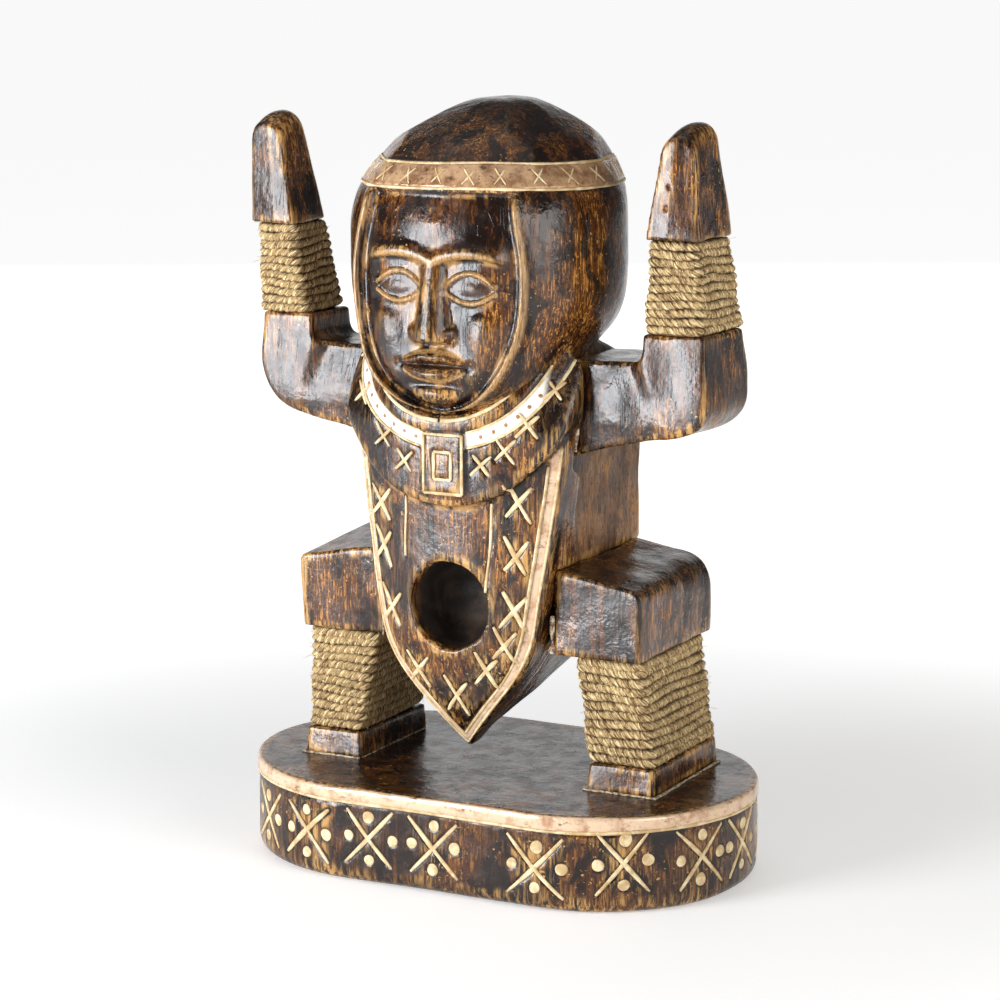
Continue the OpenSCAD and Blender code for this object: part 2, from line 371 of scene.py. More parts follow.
def ribbon(stroke, sink, thickness, sides=8):
    """Points and quads of the filler in a stroke: a flattened bead with closed ends."""
    tangent = np.gradient(stroke.points, axis=0)
    tangent /= np.linalg.norm(tangent, axis=1)[:, None]
    side = np.cross(stroke.normals, tangent)
    side /= np.linalg.norm(side, axis=1)[:, None]
    up = np.cross(tangent, side)
    count = len(stroke.points)
    rings = []
    for i in range(sides):
        angle = 2 * math.pi * (i + 0.5) / sides
        rings.append(stroke.points + side * (stroke.half_widths * math.cos(angle))[:, None]
                     + up * (thickness * math.sin(angle) - sink))
    points = np.stack(rings, 1).reshape(-1, 3)
    quads = ring_quads(count, sides)
    quads.extend(end_cap(0, sides, True))
    quads.extend(end_cap((count - 1) * sides, sides, False))
    return points, np.array(quads)


def join(parts):
    """One point and quad list from several."""
    points = []
    quads = []
    offset = 0
    for p, q in parts:
        points.append(p)
        quads.append(q + offset)
        offset += len(p)
    return np.concatenate(points), np.concatenate(quads)


def cross_marks(place, centre, first, second, half_width, rng, count=13):
    """Two crossing knife cuts: first falls and second rises along u; both are half extents in u and v."""
    strokes = []
    for slope, extent in ((-1, first), (1, second)):
        t = np.linspace(-1, 1, count)
        u = t * extent[0] * (1 + rng.normal() * 0.06)
        v = slope * t * extent[1] * (1 + rng.normal() * 0.05) + 0.06 * extent[1] * rng.normal() * (1 - t * t)
        points, normals = place(centre[0] + u + rng.normal() * 0.4, centre[1] + v + rng.normal() * 0.4)
        widths = knife_widths(len(points), half_width * rng.uniform(0.88, 1.12), rng)
        strokes.append(Stroke(points, normals, widths))
    return strokes


# ---------------------------------------------------------------- the figure's proportions

PLINTH_LOW, PLINTH_HIGH = node_box("plinth")
PLINTH_R = (PLINTH_HIGH[1] - PLINTH_LOW[1]) / 2
PLINTH_STRAIGHT = (PLINTH_HIGH[0] - PLINTH_LOW[0]) / 2 - PLINTH_R
PLINTH_TOP = PLINTH_HIGH[2]
TRUNK_LOW, TRUNK_HIGH = node_box("head_and_trunk")
CROWN = TRUNK_HIGH[2]
APRON_TIP = TRUNK_LOW[2]
ARM_LOW, ARM_HIGH = node_box("left_arm")
THIGH_LOW, THIGH_HIGH = node_box("left_leg")
SHOULDER_X = ARM_LOW[0]
HIP_X = THIGH_LOW[0]
ARM_FRONT = -46.0
ELBOW_TOP = node_section("left_forearm_rope", False)[4]
THIGH_BOTTOM = node_section("left_shin_rope", True)[4]
THIGH_TOP = 200.0

HEAD_MID = 408.0
HEAD_Y = -21.0
HEAD_R = 86.5
CROWN_LEAN = 24.0
FACE_Y = -97.0
BAND_LOW = 438.5
BAND_HIGH = 453.5
COLLAR_Z = 345.0
COLLAR_OUT = (88.0, 102.0)
STRIP_OUT = (74.0, 66.0)
STRIP_MID = (69.5, 61.5)
STRIP_IN = (65.0, 57.0)
COLLAR_RIM = (56.0, 48.0)
COLLAR_THICK = 7.0
PENDANT_X = 2.0
PENDANT_Z = 270.0
PENDANT_HALF = (14.5, 19.5)
RECESS_Z = 179.0
RECESS_R = 28.0
RECESS_BOTTOM = -34.0
TORSO_X = 66.0
TORSO_BACK = 67.0
EDGE_BAND = 7.2
EDGE_RIM = 2.3


def apron_half_width(z):
    upper = 75 - 22 * (np.maximum(305 - z, 0) / 155) ** 1.25
    lower = 0.84 * (z - APRON_TIP)
    return smooth_min(upper, lower, 14)


def apron_outside(x, z):
    """Distance outside the apron's outline, in the front view."""
    return (np.abs(x) - apron_half_width(z)) * (0.77 + 0.22 * step_up(z, 120, 160))


def chest_front(x, z):
    """Front surface of the apron and chest: rounded across, falling back to the tip and the shoulders."""
    middle = 78.5 - 26.5 * (np.maximum(207 - z, 0) / 123) ** 2.6 + 0.015 * np.clip(z - 207, 0, 150)
    across = 165 - np.sqrt(165 ** 2 - np.minimum(np.abs(x), 150) ** 2)
    shoulder = 21 * (np.maximum(z - 290, 0) / 45) ** 1.5 * (x / 70) ** 2
    return -middle + across + np.minimum(shoulder, 40)


def oval(x, z, radii):
    """Distance outside an upright oval round the neck, in the front view."""
    return (np.sqrt((x / radii[0]) ** 2 + ((COLLAR_Z - z) / radii[1]) ** 2) - 1) * (radii[0] + radii[1]) / 2


def collar_field(p, front):
    """Yoke-shaped collar: a broad plate, a strip set into it and a raised rim under the chin."""
    x, y, z = p
    strip = step_up(oval(x, z, STRIP_IN), -0.8, 0.8) * (1 - step_up(oval(x, z, STRIP_OUT), -0.8, 0.8))
    rim = 1 - step_up(oval(x, z, STRIP_IN), -2.5, 0.5)
    face = front - COLLAR_THICK + 1.1 * strip - 1.6 * rim + 5 * (1 - step_up(oval(x, z, COLLAR_RIM), -6, 0))
    plate = smooth_max(face, oval(x, z, COLLAR_OUT), 3)
    plate = smooth_max(plate, np.maximum(y + 30, z - 352), 4)
    return smooth_max(plate, np.abs(x) - 79, 4)


def trunk_field(p):
    x, y, z = p
    ax = np.abs(x)
    outline = apron_outside(x, z)
    chamfer = 1.6 * step_up(outline, -EDGE_BAND - 1, -EDGE_BAND + 0.5)
    chamfer = chamfer + 0.25 * np.maximum(outline + EDGE_BAND, 0)
    front = (chest_front(x, z) - y) * (1 - 0.06 * step_up(ax, 20, 60))
    shield_back = y + 32 + 14 * step_up(z, 258, 268)
    shield = smooth_max(smooth_max(front + chamfer, outline, 1.5), smooth_max(shield_back, z - 346, 4), 4)
    t = np.maximum(y + 50, 0)
    keel_low = (APRON_TIP - 1 + 0.15 * t + 0.0055 * t * t - z) / np.sqrt(1 + (0.15 + 0.011 * t) ** 2)
    keel_back = smooth_max(keel_low, np.maximum(y - 56, z - 215), 4)
    keel = smooth_max(np.maximum(outline + 2.2, front + 4), keel_back, 5)
    hips = smooth_max(block(p, (-HIP_X, -44, THIGH_BOTTOM + 1), (HIP_X, 56, 212), 4), keel_low, 5)
    torso = block(p, (-TORSO_X, -50, 202), (TORSO_X, TORSO_BACK + 0.5, 372), 4)
    torso = torso + 1.2 * bump(z - 235, 0, 40, 1)
    torso = smooth_max(torso, z - (347 - 0.0012 * x * x - 0.0035 * (y + 20) ** 2), 12)
    neck = np.sqrt((x / 60) ** 2 + ((y + 12) / 52) ** 2) * 56 - 56
    neck = np.maximum(smooth_max(neck, z - 362, 4), 300 - z)
    body = smooth_min(smooth_min(smooth_min(keel, hips, 4), torso, 5), shield, 2)
    body = smooth_min(smooth_min(body, neck, 10), collar_field(p, front), 1.5)
    pendant_corner = (PENDANT_HALF[0], COLLAR_THICK + 2.2, PENDANT_HALF[1])
    pendant_place = (x - PENDANT_X, y - chest_front(x, z), z - PENDANT_Z)
    pendant = block(pendant_place, [-v for v in pendant_corner], (PENDANT_HALF[0], 4, PENDANT_HALF[1]), 1.2)
    body = np.minimum(body, pendant)
    arm_space = np.minimum(np.minimum(ax - SHOULDER_X, y - ARM_FRONT + 0.3), z - 268)
    leg_space = np.minimum(np.minimum(ax - HIP_X, y - THIGH_LOW[1] + 0.3), np.minimum(z - 146, 203 - z))
    body = np.maximum(body, np.maximum(arm_space, leg_space))
    body = body + 0.45 * hewn(p, 11, 42)
    return np.maximum(body, -recess_field(p))


def recess_field(p):
    """The blind round recess, negative inside it, with a softened mouth."""
    x, y, z = p
    away = np.sqrt((x * 1.07) ** 2 + (z - RECESS_Z) ** 2) - RECESS_R - 0.6 * hewn(p, 5, 22)
    mouth = 1.1 * np.exp(-np.abs(y - chest_front(x, z)) / 1.6)
    return smooth_max(away - mouth, y - RECESS_BOTTOM + 0.8 * hewn(p, 6, 15), 34)


# ---------------------------------------------------------------- head and face

EYE_X = 24.5
EYE_Z = 379.0
EYE_HALF = 15.5
CHIN_Z = 303.0
FACE_DEPTH = 5.0


def face_half_width(z):
    """Half width of the face opening in the cap: straight sides above, a full round below."""
    lower = np.clip((386 - z) / (386 - CHIN_Z), 0, 1)
    return 55 * np.sqrt(np.maximum(1 - lower ** 2.3, 0)) - 9 * step_up(z, 385, 448)


def lid_lines(ax):
    """Place across the eye, -1 to 1, and the heights of the upper and lower lid there."""
    u = (ax - EYE_X) / EYE_HALF
    arch = np.maximum(1 - u * u, 0)
    return u, EYE_Z + 7.4 * arch - 0.6, EYE_Z - 5.6 * arch - 0.6


def brow_line(ax):
    return 399 - 0.008 * (ax - 26) ** 2


def eye_relief(ax, z):
    """Socket, almond eyeball between two thick lids, and the brow over it."""
    brow_z = brow_line(ax)
    brow = 4.6 * np.exp(-((z - brow_z) / np.where(z > brow_z, 7.0, 2.6)) ** 2) * (1 - step_up(ax, 40, 50))
    socket = -9.5 * bump(ax - EYE_X, z - EYE_Z - 1, 19, 13)
    u, upper, lower = lid_lines(ax)
    inside = np.minimum(upper - z, z - lower)
    v = (z - EYE_Z - 0.3) / 7.4
    eyeball = -9.5 + 9.6 * np.sqrt(np.maximum(1 - 0.8 * u * u - v * v, 0)) * step_up(inside, -0.6, 0.2)
    within = 1 - step_up(np.abs(u), 1.0, 1.2)
    lids = 7.6 * np.exp(-((z - upper - 2.4) / 2.3) ** 2) + 6.0 * np.exp(-((z - lower + 2.3) / 2.2) ** 2)
    fold = -2.0 * np.exp(-((z - upper - 6.4) / 1.5) ** 2)
    return brow + smooth_max(eyeball, socket + (lids + fold) * within, 0.5)


def nose_relief(ax, z):
    t = np.clip((394 - z) / (394 - 349), 0, 1)
    half = 8.4 + 5.2 * t ** 1.6
    ridge = (4.5 + 9.0 * t ** 1.15) * np.maximum(1 - (ax / half) ** 2.4, 0) ** 0.75
    return ridge * step_up(z, 343.5, 348) * (1 - step_up(z, 392, 404))


def mouth_relief(ax, z):
    muzzle = 3.6 * bump(ax, z - 330, 28, 18)
    lip_half = np.maximum(1 - (ax / 23) ** 2, 0)
    upper_z = 336.6 + 1.0 * bump(ax - 6, 0, 4, 1)
    slim = 0.45 + 0.55 * lip_half
    upper = 4.8 * np.exp(-((z - upper_z + 0.008 * ax * ax) / (3.1 * slim)) ** 2) * lip_half ** 0.8
    lower = 5.6 * np.exp(-((z - 326.4 - 0.011 * ax * ax) / (4.2 * slim)) ** 2) * lip_half ** 0.9
    parting = -3.6 * np.exp(-((z - 331.8) / 1.2) ** 2) * lip_half ** 0.4
    under = -1.8 * np.exp(-((z - 319.6) / 2.4) ** 2) * lip_half
    corner = -2.0 * bump(ax - 23.5, z - 331.6, 3.4, 2.8)
    return muzzle + upper + lower + parting + under + corner


def face_relief(x, z):
    """How far the face stands out from the head's smooth front, in millimetres."""
    ax = np.sqrt(x * x + 0.3)
    edge = face_half_width(z) - ax
    edge = np.where(z < CHIN_Z + 14, np.minimum(edge, (z - CHIN_Z) * 0.9), edge)
    below_band = 1 - step_up(z, BAND_LOW - 5, BAND_LOW)
    opening = step_up(edge, -2, 3.5) * below_band
    rim = 2.6 * np.exp(-((edge + 3.5) / 3.2) ** 2) * below_band
    nostrils = 7.0 * bump(ax - 10, z - 351.5, 4.4, 4.6) - 4.0 * bump(ax - 5.8, z - 345.5, 2.8, 2.0)
    chin = 4.6 * bump(ax, z - 311, 15, 8) - 1.6 * bump(ax, z - 319.5, 15, 3.2)
    cheek = 3.6 * bump(ax - 33, z - 353, 15, 20) - 1.0 * bump(ax, z - 341, 2.4, 4.0)
    forehead = 2.6 * bump(ax, z - 420, 42, 20)
    inside = eye_relief(ax, z) + mouth_relief(ax, z) + nostrils + chin + cheek + forehead
    inside = smooth_max(inside, nose_relief(ax, z), 2)
    return rim + opening * (inside - FACE_DEPTH)


def crown_cuts(p):
    """Broad chisel flats round the crown."""
    total = -1e3
    for i in range(9):
        for lift, depth in ((0.62, 84.2), (1.05, 81.5)):
            turn = 2 * math.pi * i / 9 + 0.35 + lift
            n = (math.cos(turn) * math.cos(lift), math.sin(turn) * math.cos(lift), math.sin(lift))
            flat = p[0] * n[0] + (p[1] - HEAD_Y) * n[1] + (p[2] - HEAD_MID) * n[2] - depth
            total = np.maximum(total, flat)
    return total


def head_field(p):
    x, y, z = p
    back_lean = CROWN_LEAN * np.clip((z - HEAD_MID) / (CROWN - HEAD_MID), 0, 1) ** 1.6
    upper_radii = (HEAD_R, HEAD_R, CROWN - HEAD_MID)
    above = rounded_form(p, (0, HEAD_Y + back_lean, HEAD_MID), upper_radii, (2, 2, 2.25))
    above = smooth_max(above, crown_cuts((x, y - back_lean, z)), 3)
    below = rounded_form(p, (0, HEAD_Y, HEAD_MID), (HEAD_R, HEAD_R, 86), (2, 2, 4))
    skull = smooth_max(np.where(z > HEAD_MID, above, below), FACE_Y - 1 - y, 20)
    jaw = rounded_form(p, (0, -38, 364), (68, 80, 68), (2, 2, 4))
    jaw = smooth_max(jaw, FACE_Y - y, 14)
    head = smooth_min(skull, jaw, 10)
    relief = face_relief(x, z) * step_up(-y, 30, 60) * step_up(z, 292, 300)
    band = step_up(z, BAND_LOW - 1, BAND_LOW + 0.6) * (1 - step_up(z, BAND_HIGH - 0.6, BAND_HIGH + 1))
    return head - relief - 0.9 * band + 0.5 * hewn(p, 23, 50)


def head_above_trunk(p):
    return np.maximum(head_field(p), -trunk_field(p) - 0.2)


# ---------------------------------------------------------------- arms and legs

ROPE_INSET = 3.9
# Added to the wrist's inner x, outer x, front y, back y and z to give the hand's base.
HAND_GROWTH = {"left": np.array([-0.2, 0.6, -0.5, 0.5, 0]), "right": np.array([1.0, 3.0, -0.5, 0.5, 0])}
# Drift of the hand's inner and outer face, depth of its tip, the elbow's outer x, and the tip's height.
HAND_SHAPE = {"left": (11.0, -5.5, 38, 159.5, 476.5), "right": (11.0, -0.5, 29, 155.5, 478.5)}
NAIL_HOLES = {"left": ((134.3, 441, 0.5), (132.4, 428, 0.7)), "right": ()}


def limb_core(p, node):
    """Wood under a rope winding."""
    low = node_section(node, False)
    high = node_section(node, True)
    return taper(p, low, high, ROPE_INSET + 1, 4), low[4], high[4]


def arm_field(side):
    """Upper arm, elbow, forearm and pointed hand; side is left or right, built on the +X side."""
    node = side + "_forearm_rope"
    wrist = node_section(node, True) + HAND_GROWTH[side]
    back = node_box(side + "_arm")[1][1]
    lean_in, lean_out, tip_depth, outer_x, tip = HAND_SHAPE[side]
    corner = 21 if side == "left" else 40

    def elbow(p):
        """Upper arm and the block under the winding."""
        x, y, z = p
        under = (275 + 0.19 * (x - 66) - 4 * bump(x - 66, 0, 18, 1) - z) * 0.98
        outer = x - outer_x + 0.075 * (z - 305)
        upper = smooth_max(z - 333 - 0.02 * (x - 66), SHOULDER_X + 0.1 - x, 1)
        block_side = 115.5 + 0.02 * (z - 340) - x
        outline = smooth_min(upper, smooth_max(block_side, z - ELBOW_TOP, 2.5), 8)
        outline = smooth_max(outline, smooth_max(under, outer, corner), 2.5)
        rear = y - back + 6 * step_up(z, 322, 352) + 0.02 * (x - 66)
        shape = smooth_max(outline, smooth_max(rear, under, 16), 4)
        recessed = 1 - step_up(x + 0.35 * (z - 320), 108, 122)
        tilt = (0.05 + 0.12 * recessed) * np.maximum(z - 303, 0) + 1.0 * recessed
        return smooth_max(shape, ARM_FRONT + tilt - y + 0.12 * np.maximum(296 - z, 0), 2.5)

    def hand(p):
        """Tapering hand: flat front with an arched top, a ridge down it, the crown sloping up to the back."""
        x, y, z = p
        t = np.clip((z - wrist[4]) / (tip - wrist[4]), 0, 1.2)
        inside_x = wrist[0] + lean_in * t
        outside_x = wrist[1] + lean_out * t
        front_y = wrist[2] + 2.5 * t
        back_y = front_y + (wrist[3] - wrist[2]) * (1 - t) + tip_depth * t
        crease = 0.9 * (1 - np.abs(x - (inside_x * 0.62 + outside_x * 0.38)) / 9)
        shape = smooth_max(x - outside_x, inside_x - x, 1)
        shape = smooth_max(shape, y - back_y, 7)
        middle = (inside_x + outside_x) / 2
        dome = z - tip - 1.0 + 0.024 * (x - middle) ** 2 + 0.0105 * (y - front_y - 27) ** 2
        shape = smooth_max(shape, dome * 0.8, 7)
        shape = smooth_max(shape, front_y - y - np.maximum(crease, -1.2), 1.2)
        shape = smooth_max(shape, wrist[4] - z, 1.5)
        for hole_x, hole_z, radius in NAIL_HOLES[side]:
            hole = np.sqrt((x - hole_x) ** 2 + (z - hole_z) ** 2 + (y - front_y) ** 2) - radius - 0.5
            shape = np.maximum(shape, -hole)
        return shape

    def field(p):
        core, low, high = limb_core(p, node)
        z = p[2]
        shape = np.minimum(elbow(p), smooth_max(core, np.maximum(low - 12 - z, z - high - 3), 1))
        shape = np.minimum(shape, hand(p))
        return shape + 0.5 * hewn(p, 31 if side == "left" else 37, 34)

    return field if side == "left" else mirrored(field)


# Height of the thigh's top at the hip, its fall per millimetre outwards, its rise backwards, the outer x,
# and how much the front face leans back (minus) or forwards towards its top.
THIGH_SHAPE = {"left": (202.0, 0.14, 0.04, 119.0, -0.035), "right": (207.0, 0.17, 0.11, 121.0, 0.05)}

# Added to the ankle's inner x, outer x, front y, back y and z to give the foot block's top.
FOOT_TRIM = {"left": np.array([3.0, -1.8, 0.2, 0.6, 0]), "right": np.array([0.2, -1.2, 0.2, 0.6, 0])}


def leg_field(side):
    """Square thigh, shin and foot block; built on the +X side."""
    node = side + "_shin_rope"
    foot = node_section(node, False) + FOOT_TRIM[side]
    top_z, fall, rise, thigh_out, lean = THIGH_SHAPE[side]

    def field(p):
        x, y, z = p
        top = z - top_z + fall * (x - 60) - rise * (y - THIGH_LOW[1])
        outer = x - thigh_out - 0.02 * (z - 150)
        corner = 5 + 0.14 * np.clip(y - THIGH_LOW[1], 0, 110)
        thigh = smooth_max(smooth_max(top, outer, corner), THIGH_BOTTOM - z, 2.5)
        front = THIGH_LOW[1] + 0.5 - y - 0.01 * (x - 90) + np.abs(lean) * 25 + lean * (175 - z)
        thigh = smooth_max(thigh, front, 2.5)
        thigh = smooth_max(thigh, np.maximum(y - 58, HIP_X + 0.1 - x), 3)
        thigh = np.maximum(thigh, np.minimum(TORSO_X + 0.3 - x, z - 202.8))
        core, low, high = limb_core(p, node)
        shape = np.minimum(thigh, smooth_max(core, np.maximum(low - 3 - z, z - high - 4), 1))
        spread = 0.04 * (foot[4] - z)
        sides = np.maximum(foot[0] - spread - x, x - foot[1] - spread)
        sides = smooth_max(sides, np.maximum(foot[2] - 2.5 * spread - y, y - foot[3] - spread), 2)
        foot_block = smooth_max(sides, np.maximum(z - foot[4], PLINTH_TOP + 0.1 - z), 1.5)
        return np.minimum(shape, foot_block) + 0.5 * hewn(p, 41 if side == "left" else 43, 36)

    return field if side == "left" else mirrored(field)


# ---------------------------------------------------------------- plinth

PERIMETER = 4 * PLINTH_STRAIGHT + 2 * math.pi * PLINTH_R
RIM_BAND = 9.5
MOTIFS_SEEN = (-71, -24.5, 23, 69, 139.5, 195.5, 250, 292.5)
MOTIFS_BEHIND = 10
MOTIF_HALF = 17.5
DOT_R = 3.9


def plinth_outside(x, y):
    """Distance outside the plinth's outline, a rectangle with half-round ends."""
    return np.sqrt(np.maximum(np.abs(x) - PLINTH_STRAIGHT, 0) ** 2 + y * y) - PLINTH_R


def plinth_field(p):
    x, y, z = p
    wall = plinth_outside(x, y)
    wall = wall + 0.8 - 0.8 * step_up(z, PLINTH_TOP - RIM_BAND - 1.2, PLINTH_TOP - RIM_BAND + 0.4)
    shape = smooth_max(wall, z - PLINTH_TOP, 2.5)
    shape = smooth_max(shape, -z, 9)
    return shape + 0.35 * hewn(p, 53, 60) + 0.35


def rim_place(s):
    """Point and outward direction on the plinth's outline at arc length s from its front left corner."""
    s = np.mod(s, PERIMETER)
    half_turn = math.pi * PLINTH_R
    straight = 2 * PLINTH_STRAIGHT
    on_back = s > straight + half_turn
    t = np.where(on_back, s - straight - half_turn, s)
    angle = np.clip((t - straight) / PLINTH_R, 0, math.pi)
    x = np.clip(t, 0, straight) - PLINTH_STRAIGHT + PLINTH_R * np.sin(angle)
    y = -PLINTH_R * np.cos(angle)
    sign = np.where(on_back, -1, 1)
    out = np.stack([np.sin(angle), -np.cos(angle), 0 * angle], -1) * sign[..., None]
    return np.stack([x * sign, y * sign], -1), out


def plinth_place(s, z):
    s = np.asarray(s, float)
    xy, out = rim_place(s)
    start = np.concatenate([xy, np.broadcast_to(np.asarray(z, float), s.shape)[..., None]], -1)
    return drop(plinth_field, start + 12 * out, -out, 20)


# ---------------------------------------------------------------- cut lines and dots

def front_place(field):
    """Surface points straight behind front-view coordinates."""
    def place(x, z):
        x = np.asarray(x, float)
        start = np.stack([x, np.full(x.shape, -130.0), np.broadcast_to(z, x.shape)], -1)
        return drop(field, start, (0, 1, 0), 125)
    return place


def head_place(along, z):
    """Surface points of the head at an arc length round it from its front, and a height."""
    turn = np.asarray(along, float) / HEAD_R
    out = np.stack([np.sin(turn), -np.cos(turn), 0 * turn], -1)
    axis = np.stack([0 * turn, np.full(turn.shape, HEAD_Y), np.broadcast_to(z, turn.shape)], -1)
    return drop(head_field, axis + 110 * out, -out, 90)


def line_stroke(place, u, v, half_width, rng):
    """A long even line through surface coordinates."""
    points, normals = place(u, v)
    return Stroke(points, normals, even_widths(len(points), half_width, rng))


# Rings of a spot from below the surface up: share of its radius, and height in mm.
DOT_RINGS = ((1.0, -1.6), (1.0, -0.35), (0.86, -0.02), (0.5, 0.12))


def dot(point, normal, radius, rng, sides=14):
    """Points and quads of a round spot of filler, slightly domed."""
    side = np.cross(normal, (0.3, 0.5, 0.8))
    side /= np.linalg.norm(side)
    up = np.cross(normal, side)
    phases = rng.uniform(0, 2 * math.pi, 2)
    rings = []
    for share, height in DOT_RINGS:
        for i in range(sides):
            angle = 2 * math.pi * i / sides
            wobble = 1 + 0.05 * math.sin(2 * angle + phases[0]) + 0.04 * math.sin(3 * angle + phases[1])
            reach = radius * share * wobble
            rings.append(point + reach * (side * math.cos(angle) + up * math.sin(angle)) + normal * height)
    quads = ring_quads(len(DOT_RINGS), sides)
    quads.extend(end_cap((len(DOT_RINGS) - 1) * sides, sides, False))
    quads.extend(end_cap(0, sides, True))
    return np.array(rings), np.array(quads)


def carve_dish(values, grid, point, normal, radius, depth):
    """Cuts a shallow round dish."""
    ball = (radius ** 2 + depth ** 2) / (2 * depth)
    centre = point + normal * (ball - depth)
    cut, (x, y, z) = grid.window(point - radius - 3, point + radius + 3)
    away = ball - np.sqrt((x - centre[0]) ** 2 + (y - centre[1]) ** 2 + (z - centre[2]) ** 2)
    values[cut] = np.maximum(values[cut], away)


# ---------------------------------------------------------------- wood pieces

def wood_piece(name, field, low, high, step, carvings=(), masks=None):
    """Carves strokes and dishes into a field and meshes it, with the wear mask its material needs."""
    grid = Grid(low, high, step)
    values = np.array(field(grid.p), np.float32)
    for cut in carvings:
        if isinstance(cut[0], Stroke):
            carve(values, grid, *cut)
        else:
            carve_dish(values, grid, *cut)
    points, quads = surface_net(values, grid)
    layers = {"wear": convexity(points, quads, 14)}
    for key, mask in (masks or {}).items():
        layers[key] = mask(*points.T)
    return make_mesh(name, points, quads, layers)


def filling_piece(name, parts):
    points, quads = join(parts)
    return make_mesh(name, points, quads)


APRON_CROSSES = (
    (-50.5, 240), (-49, 212), (-43, 175), (-24.6, 134.5), (0.5, 120), (23, 138), (36.5, 156),
    (42.7, 178), (44.6, 214), (47.3, 247.6))
COLLAR_CROSSES = (
    (-70, 332, 0.7), (-64, 308, 0.85), (-43, 284, 1), (-27, 270, 1),
    (27, 270, 1), (42, 281, 1), (55, 296, 1), (67, 317, 0.7))
APRON_LINES = (((-30.4, 246), (-30.4, 208)), ((30.6, 246), (26, 190)))


def apron_edge_line(inset, low_z, high_z, count):
    """Points along a line inside the apron's outline, from one shoulder round the tip to the other."""
    z = low_z + (high_z - low_z) * np.linspace(0, 1, count) ** 1.3
    x = apron_half_width(z) - inset
    keep = x > 0
    x = np.concatenate([-x[keep][::-1], x[keep]])
    z = np.concatenate([z[keep][::-1], z[keep]])
    return x, z


def rectangle_sides(u_low, u_high, v_start, v_end):
    """The four sides in turn, as pairs of corners, starting along v at u_low."""
    corners = [(u_low, v_start), (u_low, v_end), (u_high, v_end), (u_high, v_start), (u_low, v_start)]
    return list(zip(corners[:-1], corners[1:]))


def collar_curve(radii, limit, count):
    """Points on an oval round the neck, below it, out to a half width."""
    reach = math.asin(min(1, limit / radii[0]))
    angle = np.linspace(-reach, reach, count)
    return radii[0] * np.sin(angle), COLLAR_Z - radii[1] * np.cos(angle)


def trunk_strokes(rng):
    """Knife cuts and lines of the apron, collar and pendant."""
    place = front_place(trunk_field)
    strokes = []
    for centre in APRON_CROSSES:
        strokes += cross_marks(place, centre, (6.8, 12.6), (8.2, 9.0), 1.5, rng)
    for x, z, size in COLLAR_CROSSES:
        strokes += cross_marks(place, (x, z), (5.6 * size, 7.4 * size), (6.8 * size, 6.2 * size), 1.15, rng)
    for low, high in APRON_LINES:
        t = np.linspace(0, 1, 26)
        x = low[0] + (high[0] - low[0]) * t + 0.5 * np.sin(5 * t + low[0])
        strokes.append(line_stroke(place, x, low[1] + (high[1] - low[1]) * t, 0.9, rng))
    return strokes


def trunk_lines(rng):
    """The long border lines: apron edge, collar strip, pendant frame."""
    place = front_place(trunk_field)
    lines = []
    for inset, half_width in ((EDGE_BAND + 0.5, 1.0), (EDGE_RIM, 0.9)):
        x, z = apron_edge_line(inset, APRON_TIP + 1, 296, 74)
        keep = oval(x, z, COLLAR_OUT) > 1.5
        lines.append(line_stroke(place, x[keep], z[keep], half_width, rng))
    for radii, limit, half_width in ((STRIP_OUT, 73, 0.9), (STRIP_IN, 64, 0.9), (COLLAR_RIM, 55, 1.2)):
        for side in (-1, 1):
            x, z = collar_curve(radii, limit, 90)
            keep = x * side > (PENDANT_HALF[0] + side * PENDANT_X if radii != COLLAR_RIM else 0) + 0.5
            lines.append(line_stroke(place, x[keep], z[keep], half_width, rng))
    for half_x, half_z, centre_z in ((13.2, 18.4, PENDANT_Z), (5.8, 8.5, PENDANT_Z - 1)):
        for (x0, z0), (x1, z1) in rectangle_sides(-half_x, half_x, half_z, -half_z):
            t = np.linspace(0, 1, 12)
            x = PENDANT_X + x0 + (x1 - x0) * t
            lines.append(line_stroke(place, x, centre_z + z0 + (z1 - z0) * t, 1.0, rng))
    return lines


def copper_on_apron(x, y, z):
    """Border band of the apron."""
    front = y - chest_front(x, z)
    outside = apron_outside(x, z)
    band = step_up(outside, -EDGE_BAND - 0.2, -EDGE_BAND + 0.8)
    band = band * (1 - step_up(outside, -EDGE_RIM - 0.4, -EDGE_RIM + 0.4))
    band = band * (1 - step_up(front, 3.5, 5)) * step_up(oval(x, z, COLLAR_OUT), 0.5, 2)
    return band


def strip_mask(x, z):
    beyond_pendant = step_up(np.abs(x - PENDANT_X), PENDANT_HALF[0] - 0.5, PENDANT_HALF[0] + 0.5)
    inner = step_up(oval(x, z, STRIP_IN), -0.6, 0.6)
    return inner * (1 - step_up(oval(x, z, STRIP_OUT), -0.6, 0.6)) * beyond_pendant * (z < COLLAR_Z)


def painted_highlight_on_collar(x, y, z):
    # Painted highlight: pale colour on the collar strip standing in for light reflected by its glossy paint,
    # stopping towards the shoulder.
    front = y - chest_front(x, z)
    return strip_mask(x, z) * (1 - step_up(x, 60, 64)) * (1 - step_up(front, 3, 7))


def shade_in_recess(x, y, z):
    """Painted shade: darkens the inside of the recess, where shade falls."""
    away = np.sqrt(x ** 2 + (z - RECESS_Z) ** 2) - RECESS_R
    depth = step_up(y - chest_front(x, z), 1, 12) * (1 - step_up(y, RECESS_BOTTOM + 5, RECESS_BOTTOM + 12))
    return (1 - step_up(away, 1.5, 4)) * depth


def dry_on_trunk(x, y, z):
    """Paler, drier stain on the torso block behind the shield."""
    return step_up(y, -34, -20) * (1 - step_up(z, 335, 346)) * step_up(z, 190, 215)


